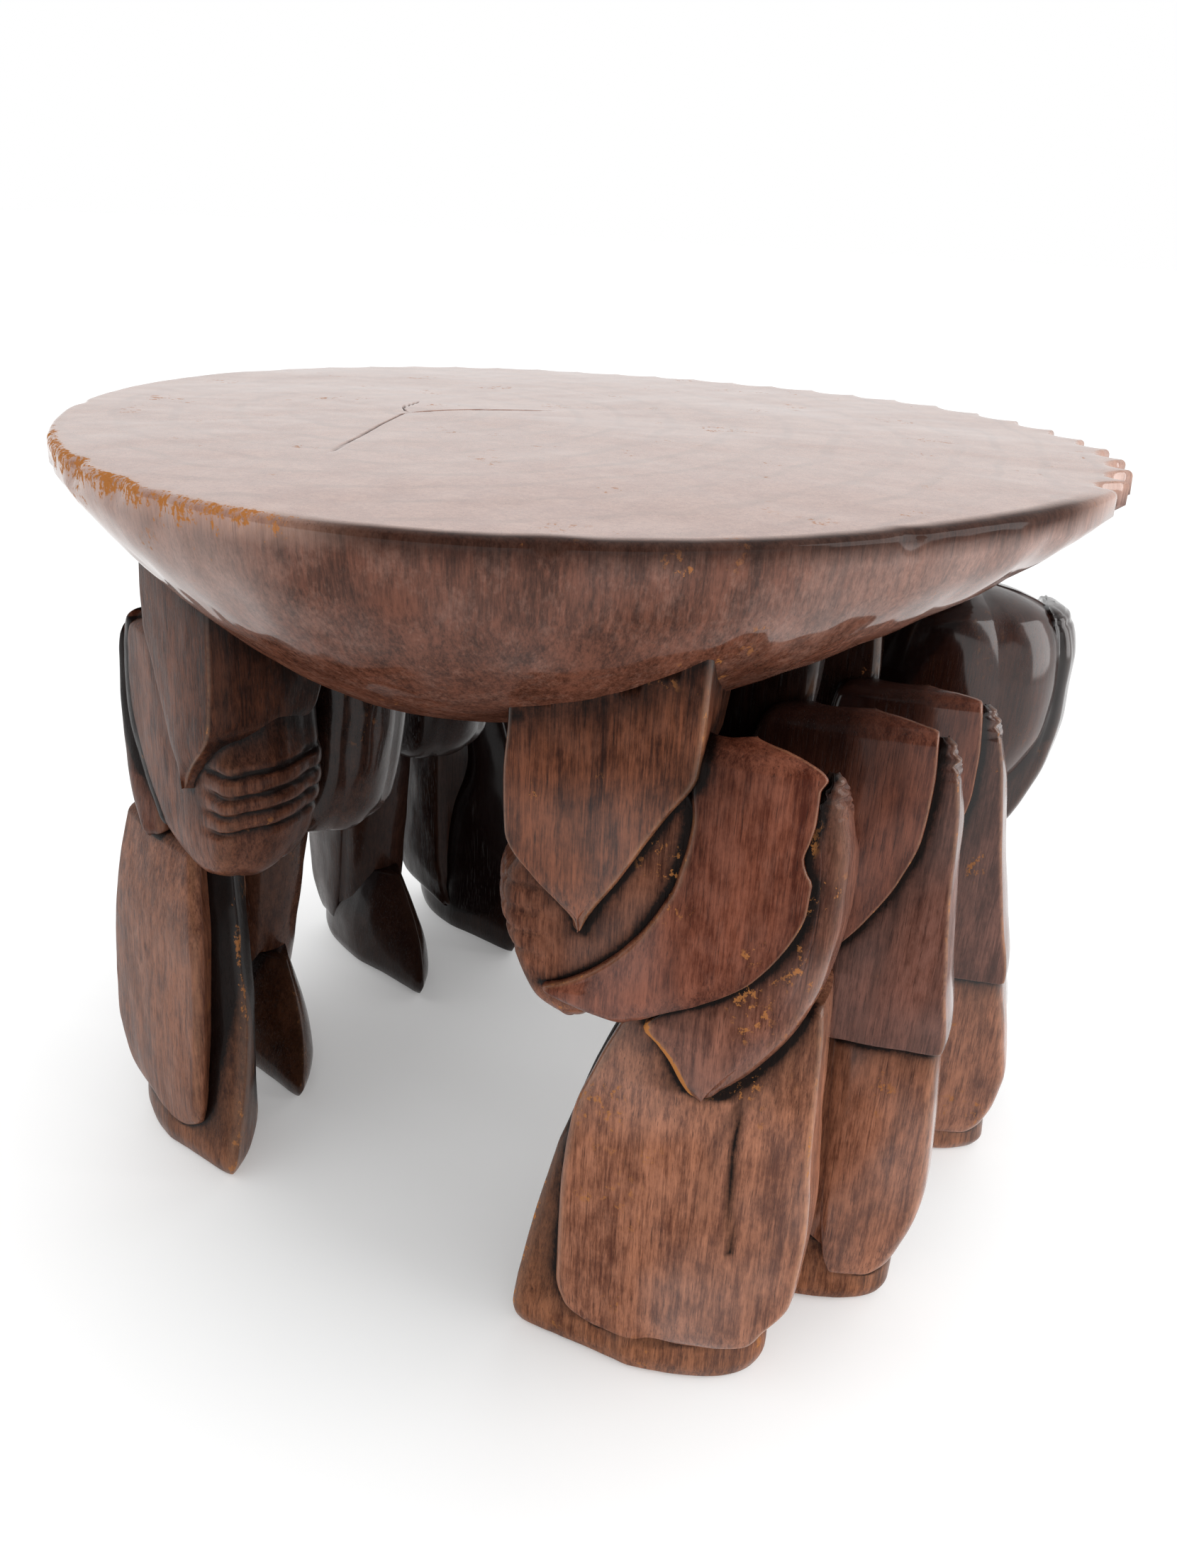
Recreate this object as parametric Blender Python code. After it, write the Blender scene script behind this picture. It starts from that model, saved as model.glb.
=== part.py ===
"""Carved round side table: a thick bowl-shaped top carried by eight crouching figures.

The figures stand in two rows of four, one row each side of the table's X = 0 plane.
Each figure is cut into the pieces its carver outlined: arm or post, body, hood, sleeve
or robe, leg and foot. A figure's own frame has s along its foot, from the pointed toe
outwards, w across its flank and z up.
"""
import math

import bmesh
import bpy

# Table top, metres and degrees
TABLE_HEIGHT = 0.460
TOP_RADIUS = 0.265
TOP_LONG_RADIUS = 0.290
TOP_LONG_AXIS = 27.0
RIM_LOBE = 0.0088
RIM_LOBE_AXIS = 42.0
TOP_CENTRE_X = 0.0034
TOP_CENTRE_Y = 0.0057
RIM_EDGE = 0.012
RIM_INSET = 0.003

# Bowl under the top: full towards its front, hollow elsewhere, lowest off its centre
BOWL_DEPTH = 0.150
BOWL_LOW_X = -0.060
BOWL_LOW_Y = -0.055
BOWL_FRONT = -57.0
BOWL_FRONT_CURVE = 0.45
BOWL_SIDE_CURVE = 1.20
BOWL_BOTTOM_CURVE = 1.3
BOWL_SHARES = (0.16, 0.36, 0.55, 0.72, 0.85, 0.94, 1.0)

# Toothed part of the rim
TOOTH_COUNT = 26
TOOTH_DEPTH = 0.012
TOOTH_LEAST_DEPTH = 0.002
TOOTH_START = 4.0
TOOTH_END = 174.0
FLUTE_REACH = 0.070
POINTS_PER_TOOTH = 4
PLAIN_POINTS = 44
FLANGE_REACH = 0.100

# Figures
FIGURE_LENGTH = 0.151
FIGURE_THICKNESS = 0.072
FRONT_GAP = 0.001
BACK_GAP = 0.0135
RIGHT_TURN = 15.0
LEFT_TURN = 16.0
TOE_SPLAY = 0.016
SPLAY_HEIGHT = 0.120
LEG_SLANT = 0.45
SEAM = 0.0003
RING_POINTS = 10

# Each pair: side, where the middle of its toes lies in shares of the top's mean radius,
# how far the second figure steps outwards in shares of a figure's length, its gap.
# Each figure: name, kind, whether its arm is on the far flank, drawn heights of its hem
# and hood, the share of the drawn crown above its hood line, how far it leans under the
# top, outwards in shares of a figure's length and to its far flank in shares of its
# thickness, and its own length as a share of the others'.
PAIRS = [
    (1, 0.405, -0.561, 0.35, FRONT_GAP,
     [("right_1", "end", False, 187, 350, 1.0, 0.0, 0.0, 1.0),
      ("right_2", "middle", False, 187, 350, 1.0, 0.0, 0.0, 1.0)]),
    (1, 0.458, 0.315, -0.08, BACK_GAP,
     [("right_3", "middle", False, 142, 316, 0.8, -0.28, 0.0, 1.0),
      ("right_4", "back", True, 165, 350, 0.6, 0.0, 0.0, 1.12)]),
    (-1, 0.4757, -0.5903, 0.26, FRONT_GAP,
     [("left_1", "end", False, 187, 350, 0.2, -0.20, 0.38, 0.88),
      ("left_2", "middle", False, 187, 350, 0.2, -0.42, 0.38, 1.0)]),
    (-1, 0.4859, 0.2256, 0.0, BACK_GAP,
     [("left_3", "middle", False, 187, 340, 0.2, -0.30, -0.10, 1.0),
      ("left_4", "end", True, 187, 350, 0.2, -0.20, -0.10, 1.0)]),
]

# Stations of each piece as drawn in millimetres, from its foot up: height, toe side, heel
# side, near flank, far flank. The last two numbers of a piece are how square it is towards
# the toe and towards the heel (1 is a pointed wedge, 2 an ellipse, 6 nearly a box).
# The drawing shows a figure under a table of DRAWN_HEIGHT, with its own hem and hood.
REACHES_TOP = None
END_PIECES = {
    "arm": ([(276, 28, 34, 1, 14), (292, 15, 43, -3, 34), (306, 3, 50, -3, 54),
             (319, -5, 56, -3, 62), (345, -6, 70, -3, 66), (365, -5, 80, -2, 66),
             (REACHES_TOP, -4, 84, -2, 66)], 5, 5),
    "body": ([(214, 10, 28, 26, 48), (222, 2, 32, 16, 56), (234, -5, 34, 9, 61),
              (248, -11, 40, 5, 65), (264, -16, 52, 3, 68), (285, -18, 66, 2, 69),
              (310, -14, 77, 3, 67), (335, -2, 83, 6, 60)], 3, 3),
    "hood": ([(219, 32, 60, 16, 50), (231, 18, 74, 8, 60), (250, 8, 96, 4, 66),
              (272, 10, 119, 3, 70), (296, 20, 131, 3, 71), (322, 40, 131, 4, 70),
              (345, 60, 131, 5, 69), (361, 76, 131, 8, 66), (371, 88, 116, 18, 56)], 2.8, 3.2),
    "sleeve": ([(187, 85, 95, 9, 50), (198, 73, 106, 5, 58), (215, 64, 120, 4, 64),
                (241, 60, 136, 4, 67), (270, 95, 145, 5, 67), (298, 105, 147, 6, 66),
                (324, 112, 144, 8, 63), (346, 120, 141, 11, 60), (360, 127, 137, 16, 54)], 3, 3.5),
    "leg": ([(20, 44, 92, 12, 52), (32, 26, 128, 5, 60), (60, 19, 145, 2, 64),
             (104, 19, 151, 2, 66), (160, 25, 149, 3, 66), (200, 40, 147, 5, 64),
             (245, 62, 144, 8, 60)], 3, 3.5),
    "foot": ([(0, 8, 130, 5, 58), (14, -2, 138, 1, 62), (40, 1, 136, 3, 60),
              (107, 14, 110, 8, 56), (164, 30, 70, 18, 48)], 1.35, 2.1),
}
MIDDLE_PIECES = {
    "post": ([(300, 4, 50, 18, 54), (340, 0, 60, 12, 60), (370, 4, 64, 12, 60),
              (REACHES_TOP, 4, 66, 12, 60)], 5, 5),
    "body": ([(206, 22, 44, 22, 50), (216, 4, 62, 10, 62), (234, -8, 82, 4, 68),
              (265, -11, 92, 2, 70), (315, -9, 90, 3, 69), (342, -4, 70, 10, 62)], 3, 3),
    "hood": ([(228, 40, 84, 16, 54), (246, 20, 99, 7, 64), (268, 12, 115, 4, 68),
              (296, 20, 124, 3, 69), (328, 36, 126, 4, 67), (350, 46, 125, 6, 65),
              (360, 56, 122, 10, 61), (366, 70, 104, 22, 50)], 2.8, 3.2),
    "robe": ([(187, 62, 150, 5, 66), (200, 58, 151, 4, 67), (240, 56, 147, 4, 67),
              (285, 80, 141, 6, 66), (318, 100, 138, 8, 64), (342, 112, 134, 12, 60),
              (356, 119, 130, 20, 52)], 4.5, 4.5),
    "leg": ([(20, 96, 138, 16, 54), (36, 84, 148, 11, 60), (65, 78, 155, 8, 64),
             (95, 76, 158, 8, 65), (155, 72, 154, 8, 65), (205, 70, 148, 10, 62)], 2.3, 2.8),
    "foot": ([(0, 8, 140, 8, 54), (12, -2, 148, 4, 57), (30, 10, 148, 5, 57),
              (55, 34, 132, 12, 53), (82, 60, 108, 24, 46)], 1.35, 2.1),
}
BACK_LEG = ([(20, 44, 96, 12, 52), (32, 26, 132, 5, 60), (60, 19, 150, 2, 64),
             (104, 19, 144, 2, 66), (160, 25, 129, 3, 66), (196, 40, 116, 5, 64)],
            3, 3.5)
KINDS = {"end": END_PIECES, "middle": MIDDLE_PIECES, "back": dict(END_PIECES, leg=BACK_LEG)}
DRAWN_HEIGHT = 460
DRAWN_LENGTH = 151
DRAWN_THICKNESS = 72
DRAWN_HEM = 187
DRAWN_HOOD = 350

FINISH = {
    "top": (0.105, 0.036, 0.022, 0.34),
    "arm": (0.120, 0.040, 0.022, 0.38),
    "post": (0.060, 0.022, 0.014, 0.30),
    "body": (0.105, 0.034, 0.020, 0.36),
    "hood": (0.130, 0.042, 0.022, 0.34),
    "sleeve": (0.115, 0.036, 0.020, 0.36),
    "robe": (0.125, 0.040, 0.022, 0.38),
    "leg": (0.140, 0.046, 0.024, 0.42),
    "foot": (0.110, 0.036, 0.020, 0.44),
}
SHARP_ANGLE = 40.0


def clear_scene():
    """Take out whatever the scene holds."""
    for old in list(bpy.data.objects):
        bpy.data.objects.remove(old, do_unlink=True)


def wood(kind):
    """The varnished wood of one kind of piece."""
    name = "wood_" + kind
    found = bpy.data.materials.get(name)
    if found:
        return found
    made = bpy.data.materials.new(name)
    made.use_nodes = True
    shader = made.node_tree.nodes["Principled BSDF"]
    red, green, blue, roughness = FINISH[kind]
    shader.inputs["Base Color"].default_value = (red, green, blue, 1.0)
    shader.inputs["Roughness"].default_value = roughness
    shader.inputs["Metallic"].default_value = 0.0
    return made


def add_object(name, rings, kind=None, holder=None, tip=None):
    """One closed body from a stack of rings, skinned with triangles and capped.

    The same diagonals are used on a piece and on its cutter, so the cutter always holds the
    whole piece. Without a kind the body is a cutter. With a tip the lowest ring closes to it.
    """
    mesh = bpy.data.meshes.new(name)
    form = bmesh.new()
    loops = [[form.verts.new(point) for point in ring] for ring in rings]
    for lower, upper in zip(loops, loops[1:]):
        for k in range(len(lower)):
            after = (k + 1) % len(lower)
            form.faces.new((lower[k], lower[after], upper[after]))
            form.faces.new((lower[k], upper[after], upper[k]))
    if tip is None:
        form.faces.new(loops[0])
    else:
        lowest = form.verts.new(tip)
        for first, second in zip(loops[0], loops[0][1:] + loops[0][:1]):
            form.faces.new((lowest, second, first))
    form.faces.new(loops[-1])
    bmesh.ops.recalc_face_normals(form, faces=form.faces)
    form.to_mesh(mesh)
    form.free()
    made = bpy.data.objects.new(name, mesh)
    bpy.context.scene.collection.objects.link(made)
    made.parent = holder
    if kind is None:
        made.hide_render = True
        made.display_type = 'WIRE'
        return made
    mesh.materials.append(wood(kind))
    mesh.shade_smooth()
    mesh.set_sharp_from_angle(angle=math.radians(SHARP_ANGLE))
    return made


def cut(target, cutter):
    """Take a cutter's volume out of a piece."""
    change = target.modifiers.new("seat_" + cutter.name, 'BOOLEAN')
    change.operation = 'DIFFERENCE'
    change.solver = 'EXACT'
    change.object = cutter


def rim_radius(angle):
    """Distance of the smooth rim from the top's centre: an ellipse, slightly three-cornered."""
    turned = angle - math.radians(TOP_LONG_AXIS)
    across = math.hypot(TOP_RADIUS * math.cos(turned), TOP_LONG_RADIUS * math.sin(turned))
    lobe = RIM_LOBE * math.cos(3.0 * (angle - math.radians(RIM_LOBE_AXIS)))
    return TOP_RADIUS * TOP_LONG_RADIUS / across + lobe


def tooth_depth(angle):
    """How far the rim is cut in at an angle: round flutes that grow shallow towards the left."""
    start = math.radians(TOOTH_START)
    end = math.radians(TOOTH_END)
    if not start < angle < end:
        return 0.0
    along = (angle - start) / (end - start)
    depth = TOOTH_DEPTH + (TOOTH_LEAST_DEPTH - TOOTH_DEPTH) * along
    return depth * abs(math.sin(math.pi * TOOTH_COUNT * along))


def rim_angles():
    """Angles round the rim, close together where the teeth are."""
    start = math.radians(TOOTH_START)
    end = math.radians(TOOTH_END)
    steps = TOOTH_COUNT * POINTS_PER_TOOTH
    toothed = [start + (end - start) * k / steps for k in range(steps)]
    plain = [end + (2.0 * math.pi - end + start) * k / PLAIN_POINTS for k in range(PLAIN_POINTS)]
    return toothed + plain


def bowl_fall(share, angle):
    """Depth under the rim's edge, as a share of the bowl's, at a share of the way out."""
    forward = max(0.0, math.cos(angle - math.radians(BOWL_FRONT)))
    curve = BOWL_SIDE_CURVE + (BOWL_FRONT_CURVE - BOWL_SIDE_CURVE) * forward
    return (1.0 - share ** BOWL_BOTTOM_CURVE) ** curve


def top_ring(share, inset, grow, height=None):
    """One ring of the bowl or the rim; without a height it lies on the bowl."""
    offset = 1.0 - share ** BOWL_BOTTOM_CURVE
    ring = []
    for angle in rim_angles():
        radius = rim_radius(angle)
        fade = max(0.0, 1.0 - radius * (1.0 - share) / FLUTE_REACH)
        reach = radius * share - inset + grow
        reach -= tooth_depth(angle % (2.0 * math.pi)) * fade
        level = TABLE_HEIGHT - RIM_EDGE - grow
        level -= (BOWL_DEPTH - RIM_EDGE) * bowl_fall(share, angle)
        ring.append((TOP_CENTRE_X + BOWL_LOW_X * offset + reach * math.cos(angle),
                     TOP_CENTRE_Y + BOWL_LOW_Y * offset + reach * math.sin(angle),
                     level if height is None else height))
    return ring


def add_top(name, grow=0.0, kind=None):
    """The top with its bowl and teeth.

    Grown, it is the cutter that trims the figures: its rim then runs out as a wide flange,
    so that nothing stands beside the bowl higher than its rim.
    """
    rings = [top_ring(share, 0.0, grow) for share in BOWL_SHARES]
    if kind is None:
        rings.append(top_ring(1.0, -FLANGE_REACH, grow))
        rings.append(top_ring(1.0, -FLANGE_REACH, grow, TABLE_HEIGHT + FLANGE_REACH))
    else:
        rings.append(top_ring(1.0, RIM_INSET, grow, TABLE_HEIGHT))
    lowest = (TOP_CENTRE_X + BOWL_LOW_X, TOP_CENTRE_Y + BOWL_LOW_Y,
              TABLE_HEIGHT - BOWL_DEPTH - grow)
    return add_object(name, rings, kind, tip=lowest)


def height_on_figure(drawn, hem, hood, crown):
    """Carry a drawn height to the table, for a figure with its own hem, hood and crown."""
    if drawn <= DRAWN_HEM:
        level = drawn * hem / DRAWN_HEM
    elif drawn <= DRAWN_HOOD:
        level = hem + (drawn - DRAWN_HEM) * (hood - hem) / (DRAWN_HOOD - DRAWN_HEM)
    else:
        level = hood + (drawn - DRAWN_HOOD) * crown
    return level * TABLE_HEIGHT / DRAWN_HEIGHT


def superellipse(turn, square):
    """A point on a unit superellipse: one shape from wedge to box."""
    cosine = math.cos(turn)
    sine = math.sin(turn)
    along = math.copysign(abs(cosine) ** (2.0 / square), cosine)
    across = math.copysign(abs(sine) ** (2.0 / square), sine)
    return along, across


def figure_rings(figure, side, piece, grow=0.0):
    """Rings of one piece in its figure's own frame, grown by a seam where it cuts a neighbour.

    The toe side of an outer figure's leg slants away towards its inner flank, like a prow.
    """
    _, kind, flipped, hem, hood, crown, lean, back, length = figure
    stations, square_toe, square_heel = KINDS[kind][piece]
    slant = LEG_SLANT if kind != "middle" and piece == "leg" else 0.0
    long = length * FIGURE_LENGTH / DRAWN_LENGTH
    thick = FIGURE_THICKNESS / DRAWN_THICKNESS
    rings = []
    for index, (height, toe, heel, near, far) in enumerate(stations):
        if height is REACHES_TOP:
            level = TABLE_HEIGHT
        else:
            level = height_on_figure(height, hem, hood, crown)
        leant_out = lean * FIGURE_LENGTH * level / TABLE_HEIGHT
        leant_back = back * FIGURE_THICKNESS * level / TABLE_HEIGHT
        if index == 0:
            level -= grow
        if index == len(stations) - 1:
            level += grow
        if flipped:
            near, far = DRAWN_THICKNESS - far, DRAWN_THICKNESS - near
        middle_s = (toe + heel) / 2.0 * long + leant_out
        middle_w = (near + far) / 2.0 * thick + leant_back
        half_s = (heel - toe) / 2.0 * long + grow
        half_w = (far - near) / 2.0 * thick + grow
        ring = []
        for k in range(RING_POINTS):
            angle = 2.0 * math.pi * k / RING_POINTS
            square = square_heel if math.cos(angle) > 0.0 else square_toe
            along, across = superellipse(angle, square)
            w = middle_w + half_w * across
            if piece == "foot" and along < 0.0:
                w -= TOE_SPLAY * along * along * max(0.0, 1.0 - level / SPLAY_HEIGHT)
            inner = (1.0 - across if flipped else 1.0 + across) / 2.0
            slanted = slant * half_s * (1.0 - along) * inner
            ring.append((side * (middle_s + half_s * along + slanted), w, level))
        rings.append(ring)
    return rings


def build_figure(figure, side, toe_x, toe_y, turn, top_cutter):
    """All pieces of one figure: each is cut by the pieces the carver left standing in front of it."""
    name, kind = figure[:2]
    holder = bpy.data.objects.new(name, None)
    bpy.context.scene.collection.objects.link(holder)
    holder.location = (toe_x, toe_y, 0.0)
    holder.rotation_euler = (0.0, 0.0, side * turn)
    cutters = [top_cutter]
    for piece in KINDS[kind]:
        piece_name = name + "_" + piece
        made = add_object(piece_name, figure_rings(figure, side, piece), piece, holder)
        for cutter in cutters:
            cut(made, cutter)
        grown = figure_rings(figure, side, piece, SEAM)
        cutters.append(add_object(piece_name + "_seam", grown, holder=holder))


def build_pair(pair, top_cutter):
    """Two neighbouring figures, set out either side of the middle of their toes."""
    side, share_x, share_y, step, gap, figures = pair
    turn = math.radians(RIGHT_TURN if side > 0 else LEFT_TURN)
    mean_radius = (TOP_RADIUS + TOP_LONG_RADIUS) / 2.0
    along = step * FIGURE_LENGTH
    across = FIGURE_THICKNESS + gap
    for figure, half in zip(figures, (-0.5, 0.5)):
        toe_x = share_x * mean_radius + half * (along * math.cos(turn) - across * math.sin(turn))
        toe_y = share_y * mean_radius + half * (along * math.sin(turn) + across * math.cos(turn))
        build_figure(figure, side, side * toe_x, toe_y, turn, top_cutter)


def build_table():
    """The top and the eight figures under it."""
    add_top("top", kind="top")
    top_cutter = add_top("top_seam", grow=SEAM)
    for pair in PAIRS:
        build_pair(pair, top_cutter)


clear_scene()
build_table()
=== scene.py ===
# %% [markdown]
# # A side table carved from one trunk
#
# The real table is a thick round top with a bowl-shaped underside, carried by two rows of four stooped
# figures, all cut from one dark hardwood trunk and varnished. Such a piece could be sculpted by hand, but a
# lesson is easier to follow when every form is a formula. So each carved piece here is a surface that numpy
# works out on a grid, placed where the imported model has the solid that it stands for.

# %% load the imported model
import bpy
import numpy as np
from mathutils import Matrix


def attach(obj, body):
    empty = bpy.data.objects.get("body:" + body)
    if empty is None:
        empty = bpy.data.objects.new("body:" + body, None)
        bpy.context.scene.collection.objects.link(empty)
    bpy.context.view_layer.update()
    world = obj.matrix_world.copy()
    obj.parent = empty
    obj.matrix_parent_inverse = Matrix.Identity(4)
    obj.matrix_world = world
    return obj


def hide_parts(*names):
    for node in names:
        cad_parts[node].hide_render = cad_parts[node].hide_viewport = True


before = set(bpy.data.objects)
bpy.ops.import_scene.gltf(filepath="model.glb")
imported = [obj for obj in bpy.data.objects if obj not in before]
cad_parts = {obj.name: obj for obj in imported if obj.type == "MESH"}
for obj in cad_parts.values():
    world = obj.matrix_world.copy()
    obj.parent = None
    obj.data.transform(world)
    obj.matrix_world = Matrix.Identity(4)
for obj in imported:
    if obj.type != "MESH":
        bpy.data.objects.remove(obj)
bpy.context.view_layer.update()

# %% [markdown]
# ## The camera
#
# The photograph was taken from a little above the top, in front of the right row, and the picture leans by a
# few degrees. The place and the view direction were worked out from the oval that the round rim makes. The
# picture is taller than wide, so the focal length is given as a share of its height.

# %% camera
CAMERA_PLACE = np.array((0.35945, -0.60411, 0.56724))
VIEW_DIRECTION = np.array((-0.44347, 0.79082, -0.42183))
CAMERA_LEAN = np.radians(2.74)
PICTURE_SHARE = 1726 / 2212
FILM_HEIGHT = 36.0


def camera_matrix(place, view, lean):
    """Right is view x up and above is right x view; both are turned by the lean about the view."""
    right = np.cross(view, (0.0, 0.0, 1.0))
    right /= np.linalg.norm(right)
    above = np.cross(right, view)
    matrix = np.eye(4)
    matrix[:3, 0] = right * np.cos(lean) + above * np.sin(lean)
    matrix[:3, 1] = above * np.cos(lean) - right * np.sin(lean)
    matrix[:3, 2] = -view
    matrix[:3, 3] = place
    return matrix


def add_object(name, data):
    """A new object, linked to the scene."""
    made = bpy.data.objects.new(name, data)
    bpy.context.scene.collection.objects.link(made)
    return made


camera = add_object("camera", bpy.data.cameras.new("camera"))
camera.data.sensor_fit = 'VERTICAL'
camera.data.sensor_height = FILM_HEIGHT
camera.data.lens = PICTURE_SHARE * FILM_HEIGHT
camera.data.clip_start = 0.01
camera.matrix_world = camera_matrix(CAMERA_PLACE, VIEW_DIRECTION, CAMERA_LEAN).T
bpy.context.scene.camera = camera
print("lens in mm:", round(camera.data.lens, 2))

# %% [markdown]
# ## Four small tools for carving
#
# A carver's outline is a smooth line through a few marks, so the first tool draws such a line and never
# swings past a mark. The second gives soft lumps, like the hollows that a gouge leaves. The third measures
# how far a point of a flat face is from a scratched line, which lets a groove be cut anywhere. The last is a
# soft step, which fades one thing into another.

# %% carving tools
LATTICE_MIX, SEED_STEP, SINE_SCALE = np.array((127.1, 311.7, 74.7)), 53.3, 43758.5453


def through(marks, at):
    """A smooth line through marks (place, value).

    Each span is a cubic, and the slope at a mark is the harmonic mean of the slopes of the two
    spans, or nought where the line turns back.
    """
    place, value = np.array(marks, float).T
    step = np.diff(place)
    slope = np.diff(value) / step
    rising = slope[:-1] * slope[1:] > 0.0
    both = np.where(rising, slope[:-1] + slope[1:], 1.0)
    inner = np.where(rising, 2.0 * slope[:-1] * slope[1:] / both, 0.0)
    lean = np.concatenate((slope[:1], inner, slope[-1:]))
    at = np.clip(at, place[0], place[-1])
    span = np.clip(np.searchsorted(place, at) - 1, 0, len(step) - 1)
    t = (at - place[span]) / step[span]
    ends = value[span] * (1.0 + 2.0 * t) * (1.0 - t) ** 2 + value[span + 1] * t * t * (3.0 - 2.0 * t)
    bends = lean[span] * t * (1.0 - t) ** 2 - lean[span + 1] * t * t * (1.0 - t)
    return ends + bends * step[span]


def lumps(points, size, seed):
    """Soft lumps from -1 to 1: a set value at each point of a lattice, blended smoothly in every cell."""
    place = points / size
    cell = np.floor(place)
    share = place - cell
    share = share * share * (3.0 - 2.0 * share)
    total = np.zeros(points.shape[:-1])
    for corner in np.ndindex(2, 2, 2):
        key = (cell + corner) @ LATTICE_MIX + SEED_STEP * seed
        value = 2.0 * np.modf(np.abs(np.sin(key) * SINE_SCALE))[0] - 1.0
        total += value * np.prod(np.where(corner, share, 1.0 - share), axis=-1)
    return total


def line_distance(across, up, line):
    """Distance of points on a flat face from a line of straight pieces: the least over the pieces."""
    best = np.full(np.broadcast(across, up).shape, np.inf)
    for (x0, y0), (x1, y1) in zip(line, line[1:]):
        length = (x1 - x0) ** 2 + (y1 - y0) ** 2
        t = np.clip(((across - x0) * (x1 - x0) + (up - y0) * (y1 - y0)) / length, 0.0, 1.0)
        best = np.minimum(best, np.hypot(across - x0 - t * (x1 - x0), up - y0 - t * (y1 - y0)))
    return best


def smooth_step(low, high, value):
    """From 0 at low to 1 at high along an S-curve."""
    t = np.clip((value - low) / (high - low), 0.0, 1.0)
    return t * t * (3.0 - 2.0 * t)


half_marks = through([(0, 0), (1, 1), (2, 0)], np.array((0.5, 1.5)))
print("a line through 0, 1, 0 at its half marks:", half_marks)

# %% [markdown]
# ## The skin
#
# Every carved piece is a stack of closed rings. The skin joins neighbouring rings with four-sided faces and
# closes each end on a middle point, so the piece is a solid with no hole. Four marks are kept at each point
# for the finish: edge, where the varnish is rubbed thin; hollow, where dark varnish has gathered in the
# joints and painted shade darkens corners, creases, the parts under the bowl and the insides of the rows;
# shade, painted shade that makes black what light hardly reaches, and on the top the cracks too; and
# polish, where the clear coat is whole.

# %% skin
# hollow is partly dark varnish and partly painted shade; shade is painted shade, made black
MARKS = ("edge", "hollow", "shade", "polish")


def outward(rings):
    """Unit normals of a grid of rings: the way round times the way up, both from neighbouring points."""
    round_way = np.roll(rings, -1, axis=1) - np.roll(rings, 1, axis=1)
    up_way = np.gradient(rings, axis=0)
    normal = np.cross(round_way, up_way)
    return normal / np.maximum(np.linalg.norm(normal, axis=-1, keepdims=True), 1e-12)


def add_skin(name, rings, *values):
    """A closed mesh over rings of points, its ends drawn to a point, with a value for each mark."""
    rows, around = rings.shape[:2]
    index = np.arange(rows * around).reshape(rows, around)
    after = np.roll(index, -1, axis=1)
    sides = np.stack((index[:-1], after[:-1], after[1:], index[1:]), axis=-1)
    low_end = np.stack((after[0], index[0], np.full(around, rows * around)), axis=-1)
    high_end = np.stack((index[-1], after[-1], np.full(around, rows * around + 1)), axis=-1)
    corners = np.concatenate((sides.ravel(), low_end.ravel(), high_end.ravel()))
    counts = np.concatenate((np.full(sides.size // 4, 4), np.full(2 * around, 3)))
    points = np.concatenate((rings.reshape(-1, 3), rings[:1].mean(axis=1), rings[-1:].mean(axis=1)))
    mesh = bpy.data.meshes.new(name)
    mesh.vertices.add(len(points))
    mesh.vertices.foreach_set("co", points.astype(np.float32).ravel())
    mesh.loops.add(len(corners))
    mesh.loops.foreach_set("vertex_index", corners.astype(np.int32))
    mesh.polygons.add(len(counts))
    mesh.polygons.foreach_set("loop_start", (np.cumsum(counts) - counts).astype(np.int32))
    mesh.update(calc_edges=True)
    mesh.shade_smooth()
    for mark, value in zip(MARKS, values):
        kept = np.concatenate((value.ravel(), value[:1].mean(axis=1), value[-1:].mean(axis=1)))
        mesh.attributes.new(mark, 'FLOAT', 'POINT').data.foreach_set("value", kept.astype(np.float32))
    return add_object(name, mesh)


def stand_for(made, node, finish):
    """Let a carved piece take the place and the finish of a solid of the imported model."""
    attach(made, "root")
    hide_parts(node)
    made.data.materials.append(finishes[finish])


# %% [markdown]
# ## The wood
#
# One trunk gives all the wood, so the grain has to run through every piece without a break. A solid pattern
# does that: rings round the pith's upright line, and fibres that are noise stretched along the trunk. It is
# measured in the table's own metres, so a leg and the bowl above it share the same streaks. A group keeps it
# in one place for all finishes.

# %% trunk grain group
PITH = (-0.0947, -0.0286)
FIBRES = {"Broad": (45.0, 5.0, 4.0, 0.6), "Streak": (360.0, 16.0, 5.0, 0.7),
          "Fibre": (1100.0, 90.0, 4.0, 0.7), "Mottle": (95.0, 60.0, 6.0, 0.7)}
PORES, PORE_CUT = (1500.0, 45.0, 2.0, 0.6), (0.60, 0.72)


def new_group(name, inputs, outputs):
    """An empty shader group with named inputs (name, kind, value) and outputs that are plain values."""
    group = bpy.data.node_groups.new(name, 'ShaderNodeTree')
    for label, kind, value in inputs:
        socket = group.interface.new_socket(label, in_out='INPUT', socket_type=kind)
        if value is not None:
            socket.default_value = value
    for label in outputs:
        group.interface.new_socket(label, in_out='OUTPUT', socket_type='NodeSocketFloat')
    return group, group.nodes.new('NodeGroupInput').outputs, group.nodes.new('NodeGroupOutput').inputs


def add_node(tree, kind, settings=(), **sockets):
    """A node with its settings and its input values or links, found by the socket's name or number."""
    node = tree.nodes.new(kind)
    for key, value in dict(settings).items():
        setattr(node, key, value)
    for key, value in sockets.items():
        socket = node.inputs[int(key[1:]) if key[0] == "_" else key.replace("_", " ")]
        if isinstance(value, bpy.types.NodeSocket):
            tree.links.new(value, socket)
        else:
            socket.default_value = value
    return node


def math_node(tree, operation, first, second=0.5, third=0.0):
    """One step of arithmetic on values that change over the surface."""
    node = add_node(tree, 'ShaderNodeMath', {"operation": operation}, _0=first, _1=second, _2=third)
    return node.outputs[0]


def times(tree, first, second):
    """Product of two values."""
    return math_node(tree, 'MULTIPLY', first, second)


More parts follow.
